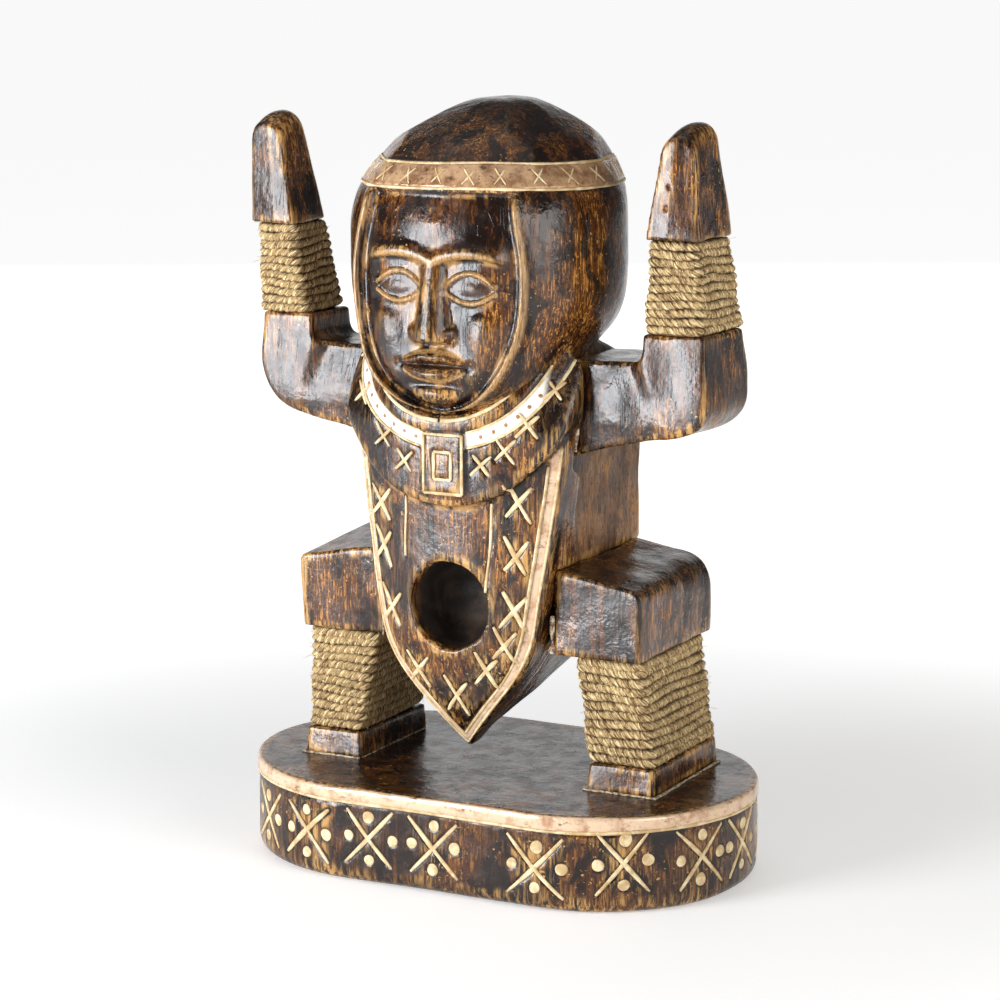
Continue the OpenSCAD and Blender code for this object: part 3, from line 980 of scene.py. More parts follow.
def make_trunk():
    rng = np.random.default_rng(3)
    crosses = trunk_strokes(rng)
    lines = trunk_lines(rng)
    carvings = [(stroke, 1.5) for stroke in crosses] + [(stroke, 0.9) for stroke in lines]
    masks = {"copper": copper_on_apron, "painted_strip_highlight": painted_highlight_on_collar}
    masks.update({"shade": shade_in_recess, "dry": dry_on_trunk})
    low = (-84, -103, APRON_TIP - 1)
    high = (84, TORSO_BACK + 1, 364)
    trunk = wood_piece("carved_trunk", trunk_field, low, high, WOOD_STEP + 0.15, carvings, masks)
    parts = [ribbon(stroke, 0.35, 0.75) for stroke in crosses]
    parts += [ribbon(stroke, 0.3, 0.6) for stroke in lines]
    filling = filling_piece("apron_cut_filling", parts)
    studs = []
    place = front_place(trunk_field)
    x, z = collar_curve(STRIP_MID, 64, 19)
    points, normals = place(x, z)
    for point, normal in zip(points, normals):
        if abs(point[0] - PENDANT_X) > PENDANT_HALF[0] + 2:
            studs.append(dot(point, normal, 1.6, rng, 10))
    return trunk, filling, filling_piece("collar_studs", studs)


HEADBAND_CROSS_DEG = (
    -170, -153, -136, -119, -102, -85, -68, -51, -34, -17, 1, 17, 33, 51, 68, 85, 102, 119, 136, 153, 172)


def copper_on_head(x, y, z):
    band = step_up(z, BAND_LOW - 0.3, BAND_LOW + 0.6) * (1 - step_up(z, BAND_HIGH - 0.6, BAND_HIGH + 0.3))
    return 0.85 * band


def rub_and_crease_shade_on_face(x, y, z):
    """Golden wear on lids, brows, lips and face rim above 0; painted shade in the eyes and the lips' parting
    below 0.
    """
    ax = np.abs(x)
    u, upper, lower = lid_lines(ax)
    within = 1 - step_up(np.abs(u), 1.05, 1.25)
    lids = (np.exp(-((z - upper - 2.6) / 1.9) ** 2) + np.exp(-((z - lower + 2.5) / 1.8) ** 2)) * within
    brow_z = brow_line(ax)
    brows = 0.8 * np.exp(-((z - brow_z) / 3.0) ** 2) * (1 - step_up(ax, 38, 46))
    lip_half = np.maximum(1 - (ax / 23) ** 2, 0)
    rims = np.exp(-((z - 340.5 + 0.011 * ax * ax) / 1.5) ** 2)
    rims = rims + np.exp(-((z - 322 - 0.014 * ax * ax) / 1.6) ** 2)
    rim = 0.8 * np.exp(-((face_half_width(z) - ax + 3.5) / 2.6) ** 2) * (1 - step_up(z, 425, 440))
    gold = np.maximum(np.maximum(lids, brows), np.maximum(0.9 * rims * step_up(lip_half, 0, 0.2), rim))
    # Painted shade: the eyes between the lids and the lips' parting are darkened.
    dark = step_up(np.minimum(upper - z, z - lower), -0.6, 0.8) * (np.abs(u) < 1)
    dark = np.maximum(dark, np.exp(-((z - 331.8) / 1.3) ** 2) * step_up(lip_half, 0, 0.2))
    return (gold - 1.6 * dark) * (1 - step_up(y, -80, -60))


def make_head():
    rng = np.random.default_rng(4)
    along = np.linspace(-math.pi, math.pi, 250) * HEAD_R
    lines = []
    for z in (BAND_LOW, BAND_HIGH):
        lines.append(line_stroke(head_place, along, z + 0.5 * np.sin(along / 23), 0.95, rng))
    crosses = []
    for degrees in HEADBAND_CROSS_DEG:
        centre = (math.radians(degrees) * HEAD_R, (BAND_LOW + BAND_HIGH) / 2)
        crosses += cross_marks(head_place, centre, (4.2, 4.6), (4.6, 4.2), 0.6, rng)
    carvings = [(stroke, 1.0) for stroke in lines] + [(stroke, 0.5) for stroke in crosses]
    low = (-92, -112, CHIN_Z - 9)
    high = (92, 72, CROWN + 2)
    head = wood_piece("carved_head", head_above_trunk, low, high, FACE_STEP, carvings,
                      {"copper": copper_on_head, "rub_and_crease_shade": rub_and_crease_shade_on_face})
    parts = [ribbon(stroke, 0.35, 0.7) for stroke in lines]
    parts += [ribbon(stroke, 0.1, 0.35) for stroke in crosses]
    return head, filling_piece("headband_cut_filling", parts)


def make_plinth():
    rng = np.random.default_rng(5)
    gap = PERIMETER - MOTIFS_SEEN[-1] + MOTIFS_SEEN[0]
    behind = [MOTIFS_SEEN[-1] + gap * (i + 1) / (MOTIFS_BEHIND + 1) for i in range(MOTIFS_BEHIND)]
    crosses = []
    dots = []
    for s in list(MOTIFS_SEEN) + behind:
        z = 29.5 + rng.normal() * 1.0
        crosses += cross_marks(plinth_place, (s, z), (MOTIF_HALF, 19), (MOTIF_HALF, 18), 1.5, rng)
        for ds, dz in ((0, 14), (0, -14), (-15.8, 0), (15.8, 0)):
            at = np.array([s + ds + rng.normal() * 0.7])
            points, normals = plinth_place(at, z + dz + rng.normal() * 0.7)
            dots.append((points[0], normals[0], DOT_R * rng.uniform(0.88, 1.12)))
    around = np.linspace(0, PERIMETER, 300)
    line_z = PLINTH_TOP - RIM_BAND - 0.8 + 0.4 * np.sin(around / 31)
    line = line_stroke(plinth_place, around, line_z, 1.1, rng)
    carvings = [(stroke, 1.4) for stroke in crosses] + [(line, 1.0)]
    carvings += [(point, normal, radius + 0.4, 1.0) for point, normal, radius in dots]

    def copper(x, y, z):
        wall = step_up(plinth_outside(x, y), -2.4, -1.2)
        return wall * step_up(z, PLINTH_TOP - RIM_BAND - 0.6, PLINTH_TOP - RIM_BAND + 0.4)

    low = PLINTH_LOW - 1
    high = PLINTH_HIGH + 1
    masks = {"copper": copper}
    plinth = wood_piece("carved_plinth", plinth_field, low, high, WOOD_STEP + 0.2, carvings, masks)
    parts = [ribbon(stroke, 0.35, 0.8) for stroke in crosses] + [ribbon(line, 0.4, 0.8)]
    parts += [dot(point, normal, radius, rng) for point, normal, radius in dots]
    return plinth, filling_piece("plinth_cut_filling", parts)


# ---------------------------------------------------------------- filler beads at the joints

def rough_bead(path, outward, radius, seed, patchy):
    """Uneven bead of filler squeezed out along a joint."""
    rng = np.random.default_rng(seed)
    path = np.asarray(path, float)
    count = len(path)
    knots = max(4, count // 3)
    size = np.interp(np.linspace(0, 1, count), np.linspace(0, 1, knots), rng.normal(size=knots))
    widths = radius * np.clip(1 + patchy * size, 0.15, 1.9)
    normals = np.broadcast_to(np.asarray(outward, float), path.shape)
    stroke = Stroke(path, normals / np.linalg.norm(normals, axis=1)[:, None], widths)
    return ribbon(stroke, 0, radius * 0.7)


def shoulder_bead(side, seed):
    """Filler line where the shoulder meets the edge of the apron."""
    z = np.linspace(ARM_LOW[2] + 1, 331, 34)
    x = apron_half_width(z) - 0.2
    path = np.stack([x * side, np.full(z.shape, ARM_FRONT - 0.2), z], 1)
    return rough_bead(path, (side * 0.6, -0.8, 0), 1.2, seed, 0.3)


def thigh_bead(side, seed):
    z = np.linspace(THIGH_BOTTOM + 1, THIGH_TOP - 26, 24)
    x = np.maximum(apron_half_width(z) + 0.4, HIP_X)
    path = np.stack([x * side, np.full(z.shape, THIGH_LOW[1] + 0.6), z], 1)
    return rough_bead(path, (side * 0.6, -0.8, 0), 1.0, seed, 0.6)


def foot_bead(side, seed):
    """Glue squeezed out round the foot of a leg."""
    foot = node_section(("left" if side > 0 else "right") + "_shin_rope", False)
    low = (foot[0] + 0.2, foot[2] - 2.2)
    high = (foot[1] + 0.6, foot[3] - 0.4)
    path = []
    for (y0, x0), (y1, x1) in rectangle_sides(low[1], high[1], low[0], high[0]):
        for t in np.linspace(0, 1, 30, endpoint=False):
            path.append((side * (x0 + (x1 - x0) * t), y0 + (y1 - y0) * t, PLINTH_TOP + 0.3))
    return rough_bead(path, (0, 0, 1), 1.1, seed, 0.5)


# ---------------------------------------------------------------- rope windings

ROPE_PER_PITCH = 0.635
STRANDS = 3
STRAND_SHARE = 0.585
OFFSET_SHARE = 0.415
LAY = 14.0
CORNER_R = 2.6
RING_GAP = 1.3
HAIR_R = 0.13


def loop_keys(low, high):
    """Share of a turn, corner signs and outward angle at each arc's ends, and the loop's length."""
    width = (low[1] - low[0] + high[1] - high[0]) / 4 - CORNER_R
    depth = (low[3] - low[2] + high[3] - high[2]) / 4 - CORNER_R
    arc = CORNER_R * math.pi / 2
    lengths = [width, arc, 2 * depth, arc, 2 * width, arc, 2 * depth, arc, width]
    signs_x = [0, 1, 1, 1, 1, -1, -1, -1, -1, 0]
    signs_y = [1, 1, 1, -1, -1, -1, -1, 1, 1, 1]
    turns = [0.5, 0.5, 0, 0, -0.5, -0.5, -1, -1, -1.5, -1.5]
    share = np.concatenate([[0], np.cumsum(lengths)]) / sum(lengths)
    return share, signs_x, signs_y, np.array(turns) * math.pi, sum(lengths)


def winding_path(node, pitch):
    """Centre line of the rope, its outward direction and its turns, on the +X side."""
    low = node_section(node, False)
    high = node_section(node, True)
    share, signs_x, signs_y, angles, around = loop_keys(low, high)
    radius = pitch * ROPE_PER_PITCH
    height = high[4] - low[4] - 2 * radius - 0.2
    turns = height / pitch + 1
    count = int(turns * around / RING_GAP)
    tau = np.linspace(0, turns, count)
    lap = np.mod(tau, 1)
    climb = 0.45 * lap + 0.55 * step_up(lap, 0.82, 1.0)
    wander = 0.8 * np.sin(tau * 12.9 + 1.3) + 0.5 * np.sin(tau * 24.5 + pitch) + 0.25 * np.sin(tau * 37.1)
    wander = wander * step_up(tau, 0.8, 1.8) * (1 - step_up(tau, turns - 1.8, turns - 0.8))
    rise = np.clip((np.floor(tau) + climb - 0.3) / (turns - 1.2), 0, 1)
    z = low[4] + radius + 0.1 + height * rise + wander
    t = (z - low[4]) / (high[4] - low[4])
    section = [low[i] + (high[i] - low[i]) * t for i in range(4)]
    angle = np.interp(lap, share, angles)
    sx = np.interp(lap, share, signs_x)
    sy = np.interp(lap, share, signs_y)
    swell = 0.3 * np.sin(tau * 7.3 + 1) + 0.2 * np.sin(tau * 17.9) - 0.1
    half_w = (section[1] - section[0]) / 2 - radius - CORNER_R + swell
    half_d = (section[3] - section[2]) / 2 - radius - CORNER_R + swell
    out = np.stack([np.cos(angle), np.sin(angle), 0 * angle], 1)
    x = (section[0] + section[1]) / 2 + sx * half_w + CORNER_R * out[:, 0]
    y = (section[2] + section[3]) / 2 + sy * half_d + CORNER_R * out[:, 1]
    return np.stack([x, y, z], 1), out, turns


def unit(vectors):
    return vectors / np.maximum(np.linalg.norm(vectors, axis=-1, keepdims=True), 1e-9)


def on_side(points, quads, mirror):
    """A mesh made for the +X side, mirrored onto the other side if asked."""
    if mirror:
        return points * np.array([-1, 1, 1]), quads[:, ::-1]
    return points, quads


def winding(node, pitch, seed, mirror):
    """Rope mesh with its fibre coordinates; returns the object and the rope's length in metres."""
    rng = np.random.default_rng(seed)
    centre, out, turns = winding_path(node, pitch)
    tangent = unit(np.gradient(centre, axis=0))
    side = np.cross(tangent, out)
    step = np.linalg.norm(np.diff(centre, axis=0), axis=1)
    along = np.concatenate([[0], np.cumsum(step)])
    count = len(centre)
    points = []
    quads = []
    fibre = []
    lift = []
    ring = 2 * math.pi * np.arange(ROPE_SIDES) / ROPE_SIDES
    radius = pitch * ROPE_PER_PITCH
    slack = np.interp(along, np.linspace(0, along[-1], count // 9), rng.normal(size=count // 9)) * 0.3
    for strand in range(STRANDS):
        phase = 2 * math.pi * (along / LAY + strand / STRANDS) + slack
        outward = out * np.cos(phase)[:, None] + side * np.sin(phase)[:, None]
        middle = centre + outward * (OFFSET_SHARE * radius)
        ahead = unit(np.gradient(middle, axis=0))
        across = unit(np.cross(ahead, outward))
        up = np.cross(across, ahead)
        knots = np.linspace(0, along[-1], count // 5)
        size = STRAND_SHARE * radius * (1 + 0.08 * np.interp(along, knots, rng.normal(size=len(knots))))
        verts = middle[:, None] + size[:, None, None] * (
            up[:, None] * np.cos(ring)[None, :, None] + across[:, None] * np.sin(ring)[None, :, None])
        lift.append(((verts - centre[:, None]) * out[:, None]).sum(-1).ravel() / radius)
        cords = np.stack(np.broadcast_arrays(along[:, None], ring[None, :] * 4 - along[:, None] * 0.6,
                                             np.float64(strand * 40 + seed)), -1)
        fibre.append(cords.reshape(-1, 3))
        base = strand * count * ROPE_SIDES
        points.append(verts.reshape(-1, 3))
        first = np.arange(count - 1)[:, None] * ROPE_SIDES
        i = np.arange(ROPE_SIDES)[None, :]
        j = (i + 1) % ROPE_SIDES
        faces = np.stack([first + i, first + ROPE_SIDES + i, first + ROPE_SIDES + j, first + j], -1)
        quads.append(faces.reshape(-1, 4) + base)
        quads.append(np.array(end_cap(0, ROPE_SIDES, False)) + base)
        quads.append(np.array(end_cap((count - 1) * ROPE_SIDES, ROPE_SIDES, True)) + base)
    points = np.concatenate(points)
    quads = np.concatenate(quads)
    points, quads = on_side(points, quads, mirror)
    masks = {"fibre": np.concatenate(fibre), "lift": np.concatenate(lift)}
    return make_mesh(node + "_winding", points, quads, masks), along[-1] * MM, turns


def stray_fibres(node, pitch, count, seed, mirror):
    """Thin loose hairs standing off a winding."""
    rng = np.random.default_rng(seed)
    centre, out, _ = winding_path(node, pitch)
    tangent = unit(np.gradient(centre, axis=0))
    parts = []
    for _ in range(count):
        k = rng.integers(20, len(centre) - 20)
        start = centre[k] + out[k] * (pitch * ROPE_PER_PITCH - 0.2) + np.array([0, 0, rng.normal() * 0.8])
        heading = tangent[k] * rng.choice([-1, 1])
        heading = heading + out[k] * rng.uniform(0.15, 0.7)
        heading = unit(heading + rng.normal(size=3) * 0.25)
        length = rng.uniform(3, 9)
        droop = rng.normal(size=3) * 0.12
        t = np.linspace(0, 1, 6)[:, None]
        path = start + heading * length * t + droop * length * t * t
        hair_line = Stroke(path, np.broadcast_to(out[k], path.shape), np.full(len(path), HAIR_R))
        parts.append(ribbon(hair_line, 0, HAIR_R, 4))
    points, quads = on_side(*join(parts), mirror)
    return make_mesh(node + "_stray_fibres", points, quads)


# ---------------------------------------------------------------- materials

class Shader:
    """A material's node tree, built from short calls."""

    def __init__(self, name, roughness):
        self.material = bpy.data.materials.new(name)
        self.material.use_nodes = True
        self.tree = self.material.node_tree
        self.surface = self.tree.nodes["Principled BSDF"]
        self.surface.inputs["Roughness"].default_value = roughness

    def feed(self, socket, value):
        if isinstance(value, bpy.types.NodeSocket):
            self.tree.links.new(value, socket)
        else:
            socket.default_value = value

    def place(self, scale=(1, 1, 1)):
        """Object coordinates in metres, scaled along each axis."""
        coordinates = self.tree.nodes.new("ShaderNodeTexCoord")
        mapping = self.tree.nodes.new("ShaderNodeMapping")
        mapping.inputs["Scale"].default_value = scale
        self.feed(mapping.inputs["Vector"], coordinates.outputs["Object"])
        return mapping.outputs["Vector"]

    def attribute(self, name, vector=False):
        node = self.tree.nodes.new("ShaderNodeAttribute")
        node.attribute_name = name
        return node.outputs["Vector" if vector else "Fac"]

    def noise(self, vector, scale, detail=4.0, roughness=0.6, distortion=0.0):
        node = self.tree.nodes.new("ShaderNodeTexNoise")
        self.feed(node.inputs["Vector"], vector)
        node.inputs["Scale"].default_value = scale
        node.inputs["Detail"].default_value = detail
        node.inputs["Roughness"].default_value = roughness
        node.inputs["Distortion"].default_value = distortion
        return node.outputs["Fac"]

    def ramp(self, value, low, high, to_low=0.0, to_high=1.0):
        """Value from low..high, smoothly to to_low..to_high."""
        node = self.tree.nodes.new("ShaderNodeMapRange")
        node.interpolation_type = "SMOOTHSTEP"
        self.feed(node.inputs["Value"], value)
        node.inputs["From Min"].default_value = low
        node.inputs["From Max"].default_value = high
        node.inputs["To Min"].default_value = to_low
        node.inputs["To Max"].default_value = to_high
        return node.outputs["Result"]

    def math(self, operation, a, b=0.0):
        node = self.tree.nodes.new("ShaderNodeMath")
        node.operation = operation
        self.feed(node.inputs[0], a)
        self.feed(node.inputs[1], b)
        return node.outputs[0]

    def mix(self, share, a, b):
        """Colour a, with a share of colour b over it."""
        node = self.tree.nodes.new("ShaderNodeMix")
        node.data_type = "RGBA"
        self.feed(node.inputs["Factor"], share)
        self.feed(node.inputs["A"], a if isinstance(a, bpy.types.NodeSocket) else (*a, 1))
        self.feed(node.inputs["B"], b if isinstance(b, bpy.types.NodeSocket) else (*b, 1))
        return node.outputs["Result"]

    def blend_values(self, share, a, b):
        node = self.tree.nodes.new("ShaderNodeMix")
        self.feed(node.inputs["Factor"], share)
        self.feed(node.inputs["A"], a)
        self.feed(node.inputs["B"], b)
        return node.outputs["Result"]

    def bump(self, height, distance, strength=1.0, after=None):
        node = self.tree.nodes.new("ShaderNodeBump")
        node.inputs["Distance"].default_value = distance
        node.inputs["Strength"].default_value = strength
        self.feed(node.inputs["Height"], height)
        if after is not None:
            self.feed(node.inputs["Normal"], after)
        return node.outputs["Normal"]

    def finish(self, colour, roughness=None, normal=None, metallic=None):
        self.feed(self.surface.inputs["Base Color"], colour)
        if roughness is not None:
            self.feed(self.surface.inputs["Roughness"], roughness)
        if metallic is not None:
            self.feed(self.surface.inputs["Metallic"], metallic)
        if normal is not None:
            self.feed(self.surface.inputs["Normal"], normal)
        return self.material


UPRIGHT_GRAIN = (1, 1, 0.07)
LEVEL_GRAIN = (0.07, 1, 1)


# Colours of the stained, worn and painted wood, with painted shade and a painted highlight.
STAIN_DARK = (0.011, 0.005, 0.0035)
STAIN_WARM = (0.060, 0.020, 0.0065)
STREAK = (0.125, 0.041, 0.009)
BLOTCH = (0.008, 0.004, 0.003)
BLEACHED_DARK = (0.15, 0.070, 0.030)
BLEACHED_PALE = (0.30, 0.160, 0.072)
RUBBED_GOLD = (0.44, 0.185, 0.036)
SPECK = (0.52, 0.28, 0.08)
# Dark cracks and flecks, also the painted shade in cuts and creases.
DARK_FLECK_AND_CREASE_SHADE = (0.006, 0.003, 0.002)
EDGE_GOLD = (0.52, 0.29, 0.09)
DUST = (0.40, 0.22, 0.07)
RIDGE_GOLD = (0.42, 0.245, 0.095)
CREASE_PAINTED_SHADE = (0.030, 0.012, 0.006)
RECESS_DARK = (0.010, 0.006, 0.004)
# Painted highlight of the collar strip's glossy paint.
STRIP_PAINTED_HIGHLIGHT = (0.90, 0.86, 0.76)
COPPER_DARK = (0.42, 0.22, 0.12)
COPPER_PALE = (0.72, 0.52, 0.35)
BAND_COPPER_DARK = (0.22, 0.095, 0.036)
BAND_COPPER_PALE = (0.60, 0.365, 0.19)


def wood_material(name, flat_top=False):
    """Dark stain over golden wood, streaked along the grain, worn on edges, with copper paint, a painted
    highlight on the collar strip and painted shade in the recess, cuts, creases and eyes.
    """
    s = Shader(name, 0.3)
    s.surface.inputs["IOR"].default_value = 1.47
    grain = s.place(UPRIGHT_GRAIN)
    fine = s.noise(grain, 800, 4, 0.7, 0.3)
    streak = s.noise(grain, 270, 5, 0.65, 0.7)
    geometry = s.tree.nodes.new("ShaderNodeNewGeometry")
    split = s.tree.nodes.new("ShaderNodeSeparateXYZ")
    s.feed(split.inputs[0], geometry.outputs["Normal"])
    sideways = s.ramp(s.math("ABSOLUTE", split.outputs["X"]), 0.45, 0.85)
    if flat_top:
        up = s.ramp(split.outputs["Z"], 0.5, 0.8)
        level = s.place(LEVEL_GRAIN)
        fine = s.blend_values(up, fine, s.noise(level, 800, 4, 0.7, 0.3))
        streak = s.blend_values(up, streak, s.noise(level, 270, 5, 0.65, 0.7))
    patch = s.noise(s.place(), 15, 4, 0.6)
    blotch = s.noise(s.place((1, 1, 0.5)), 62, 5, 0.65, 0.5)
    wear = s.attribute("wear")
    cut = s.ramp(wear, -0.12, -0.5)
    colour = s.mix(s.ramp(patch, 0.38, 0.62), STAIN_DARK, STAIN_WARM)
    colour = s.mix(s.ramp(streak, 0.50, 0.57, 0, 0.5 if flat_top else 0.7), colour, STREAK)
    colour = s.mix(s.ramp(blotch, 0.50, 0.57, 0, 0.92), colour, BLOTCH)
    dry = s.math("MULTIPLY", s.attribute("dry"), s.ramp(streak, 0.38, 0.58, 0.4, 0.95))
    dry = s.math("MULTIPLY", dry, s.ramp(blotch, 0.64, 0.50, 0.35, 1.0))
    bleached = s.mix(s.ramp(patch, 0.40, 0.58), BLEACHED_DARK, BLEACHED_PALE)
    colour = s.mix(dry, colour, bleached)
    rub = s.math("MULTIPLY", s.ramp(fine, 0.52, 0.59), s.ramp(blotch, 0.55, 0.46))
    bare = s.math("ADD", patch, s.math("MULTIPLY", sideways, 0.01 if flat_top else 0.05))
    cover = s.ramp(bare, 0.45, 0.60, 0.03, 0.5 if flat_top else 0.95)
    colour = s.mix(s.math("MULTIPLY", rub, cover), colour, RUBBED_GOLD)
    speck = s.math("MULTIPLY", s.ramp(s.noise(s.place(), 380, 3, 0.6), 0.64, 0.68), s.ramp(patch, 0.46, 0.56))
    colour = s.mix(speck, colour, SPECK)
    seam = s.noise(s.place((1, 1, 0.05)), 75, 3, 0.6, 0.4)
    crack = s.ramp(s.math("ABSOLUTE", s.math("SUBTRACT", seam, 0.5)), 0.012, 0.003)
    crack = s.math("MULTIPLY", crack, s.ramp(blotch, 0.48, 0.56))
    colour = s.mix(s.math("MULTIPLY", crack, 0.85), colour, DARK_FLECK_AND_CREASE_SHADE)
    mottle = s.noise(s.place((1, 1, 0.55)), 480, 4, 0.75)
    colour = s.mix(s.ramp(mottle, 0.53, 0.60, 0, 0.65), colour, DARK_FLECK_AND_CREASE_SHADE)
    ragged = s.ramp(s.noise(grain, 300, 5, 0.75), 0.46, 0.60)
    gold = s.math("MULTIPLY", s.ramp(wear, 0.08, 0.36), ragged)
    gold = s.math("MULTIPLY", gold, s.ramp(patch, 0.40, 0.58, 0.2, 0.9))
    colour = s.mix(gold, colour, EDGE_GOLD)
    dust = s.math("MULTIPLY", cut, s.ramp(blotch, 0.54, 0.40))
    colour = s.mix(s.math("MULTIPLY", dust, 0.75), colour, DUST)
    rub_and_crease_shade = s.attribute("rub_and_crease_shade")
    ridge = s.math("MULTIPLY", s.ramp(rub_and_crease_shade, 0.25, 0.8), s.ramp(fine, 0.40, 0.54, 0.3, 0.9))
    colour = s.mix(ridge, colour, RIDGE_GOLD)
    # Painted shade in the eyes and the lips' parting.
    colour = s.mix(s.ramp(rub_and_crease_shade, -0.2, -0.9, 0, 0.85), colour, CREASE_PAINTED_SHADE)
    # Painted shade: darkens the cuts and creases, in patches.
    crease_shade = s.math("MULTIPLY", cut, s.ramp(blotch, 0.46, 0.58))
    colour = s.mix(s.math("MULTIPLY", crease_shade, 0.9), colour, DARK_FLECK_AND_CREASE_SHADE)
    # Painted shade: darkens the inside of the recess.
    colour = s.mix(s.math("MULTIPLY", s.attribute("shade"), 0.9), colour, RECESS_DARK)
    worn = s.ramp(s.noise(s.place((1, 1, 1.8)), 140, 5, 0.75), 0.56, 0.66)
    copper = s.math("MULTIPLY", s.attribute("copper"), s.math("SUBTRACT", 1.0, s.math("MULTIPLY", worn, 0.8)))
    tone = s.noise(s.place(), 90, 5, 0.7)
    paint = s.mix(s.ramp(tone, 0.30, 0.54), COPPER_DARK, COPPER_PALE)
    place = s.tree.nodes.new("ShaderNodeSeparateXYZ")
    s.feed(place.inputs[0], s.place())
    high = s.ramp(place.outputs["Z"], 0.37, 0.40, 0, 0.85)
    paint = s.mix(high, paint, s.mix(s.ramp(tone, 0.36, 0.64), BAND_COPPER_DARK, BAND_COPPER_PALE))
    colour = s.mix(copper, colour, paint)
    # Painted highlight: the pale collar strip.
    painted_strip_highlight = s.attribute("painted_strip_highlight")
    colour = s.mix(s.math("MULTIPLY", painted_strip_highlight, s.ramp(tone, 0.25, 0.35)), colour, STRIP_PAINTED_HIGHLIGHT)
    roughness = s.ramp(s.noise(s.place(), 70, 4, 0.6), 0.35, 0.65, 0.12, 0.30)
    dull = s.math("MULTIPLY", s.attribute("dry"), 0.25)
    dull = s.math("ADD", s.math("MULTIPLY", s.attribute("shade"), 0.5), dull)
    roughness = s.math("ADD", roughness, dull)
    height = s.math("ADD", s.math("MULTIPLY", fine, 0.35), s.math("MULTIPLY", streak, 0.5))
    height = s.math("SUBTRACT", height, s.math("MULTIPLY", crack, 0.5))
    normal = s.bump(height, 0.0005, 0.35)
    normal = s.bump(s.noise(s.place(), 120, 3, 0.6), 0.0012, 0.45, normal)
    return s.finish(colour, roughness, normal, s.math("MULTIPLY", copper, 0.15))


def cream_material():
    s = Shader("cream_filler", 0.62)
    speck = s.noise(s.place(), 700, 3, 0.7)
    tone = s.noise(s.place(), 130, 3, 0.6)
    colour = s.mix(s.ramp(tone, 0.35, 0.65), (0.50, 0.34, 0.155), (0.76, 0.62, 0.38))
    colour = s.mix(s.ramp(speck, 0.62, 0.74, 0, 0.8), colour, (0.16, 0.08, 0.03))
    return s.finish(colour, None, s.bump(speck, 0.0003, 0.5))


def glue_material():
    s = Shader("joint_glue", 0.5)
    speck = s.noise(s.place(), 420, 4, 0.75)
    colour = s.mix(s.ramp(speck, 0.42, 0.56), (0.13, 0.06, 0.022), (0.58, 0.50, 0.36))
    return s.finish(colour, None, s.bump(speck, 0.0005, 0.6))


def stud_material():
    s = Shader("collar_stud_paint", 0.45)
    tone = s.noise(s.place(), 400, 3, 0.6)
    return s.finish(s.mix(tone, (0.20, 0.085, 0.035), (0.42, 0.21, 0.09)), None, s.bump(tone, 0.0002, 0.4))


def rope_material():
    """Twisted sisal: fibres along each strand, with painted shade darkening the low gaps between strands and
    turns.
    """
    s = Shader("sisal_rope", 0.72)
    along = s.attribute("fibre", True)
    stretch = s.tree.nodes.new("ShaderNodeMapping")
    stretch.inputs["Scale"].default_value = (0.4, 1.1, 1)
    s.feed(stretch.inputs["Vector"], along)
    fibre = s.noise(stretch.outputs["Vector"], 0.5, 4, 0.75)
    tone = s.noise(along, 0.07, 3, 0.6)
    speck = s.noise(s.place(), 330, 3, 0.7)
    colour = s.mix(s.ramp(tone, 0.38, 0.62), (0.29, 0.165, 0.050), (0.50, 0.335, 0.130))
    colour = s.mix(s.ramp(fibre, 0.51, 0.56), colour, (0.86, 0.68, 0.37))
    colour = s.mix(s.ramp(fibre, 0.48, 0.42), colour, (0.10, 0.046, 0.013))
    # Painted shade: strands darken where they lie low, in the gaps between strands and turns.
    depth = s.math("MULTIPLY", s.ramp(s.attribute("lift"), 0.86, 0.36), s.ramp(speck, 0.36, 0.54, 0.55, 1.0))
    colour = s.mix(s.math("MULTIPLY", depth, 0.9), colour, (0.065, 0.030, 0.010))
    colour = s.mix(s.ramp(speck, 0.60, 0.67, 0, 0.8), colour, (0.08, 0.036, 0.011))
    return s.finish(colour, None, s.bump(fibre, 0.0006, 0.9))


def hair_material():
    s = Shader("sisal_fibre", 0.6)
    tone = s.noise(s.place(), 200, 2, 0.5)
    return s.finish(s.mix(tone, (0.45, 0.31, 0.14), (0.75, 0.62, 0.38)))


def steel_material():
    s = Shader("aged_steel", 0.42)
    tone = s.noise(s.place(), 600, 3, 0.6)
    colour = s.mix(s.ramp(tone, 0.4, 0.65), (0.30, 0.28, 0.26), (0.16, 0.10, 0.06))
    return s.finish(colour, s.ramp(tone, 0.3, 0.7, 0.3, 0.6), s.bump(tone, 0.0001, 0.4), 0.9)


def dowel_material():
    s = Shader("dowel_wood", 0.6)
    rings = s.noise(s.place(LEVEL_GRAIN), 700, 3, 0.6)
    return s.finish(s.mix(rings, (0.52, 0.33, 0.15), (0.68, 0.48, 0.26)), None, s.bump(rings, 0.0002, 0.4))


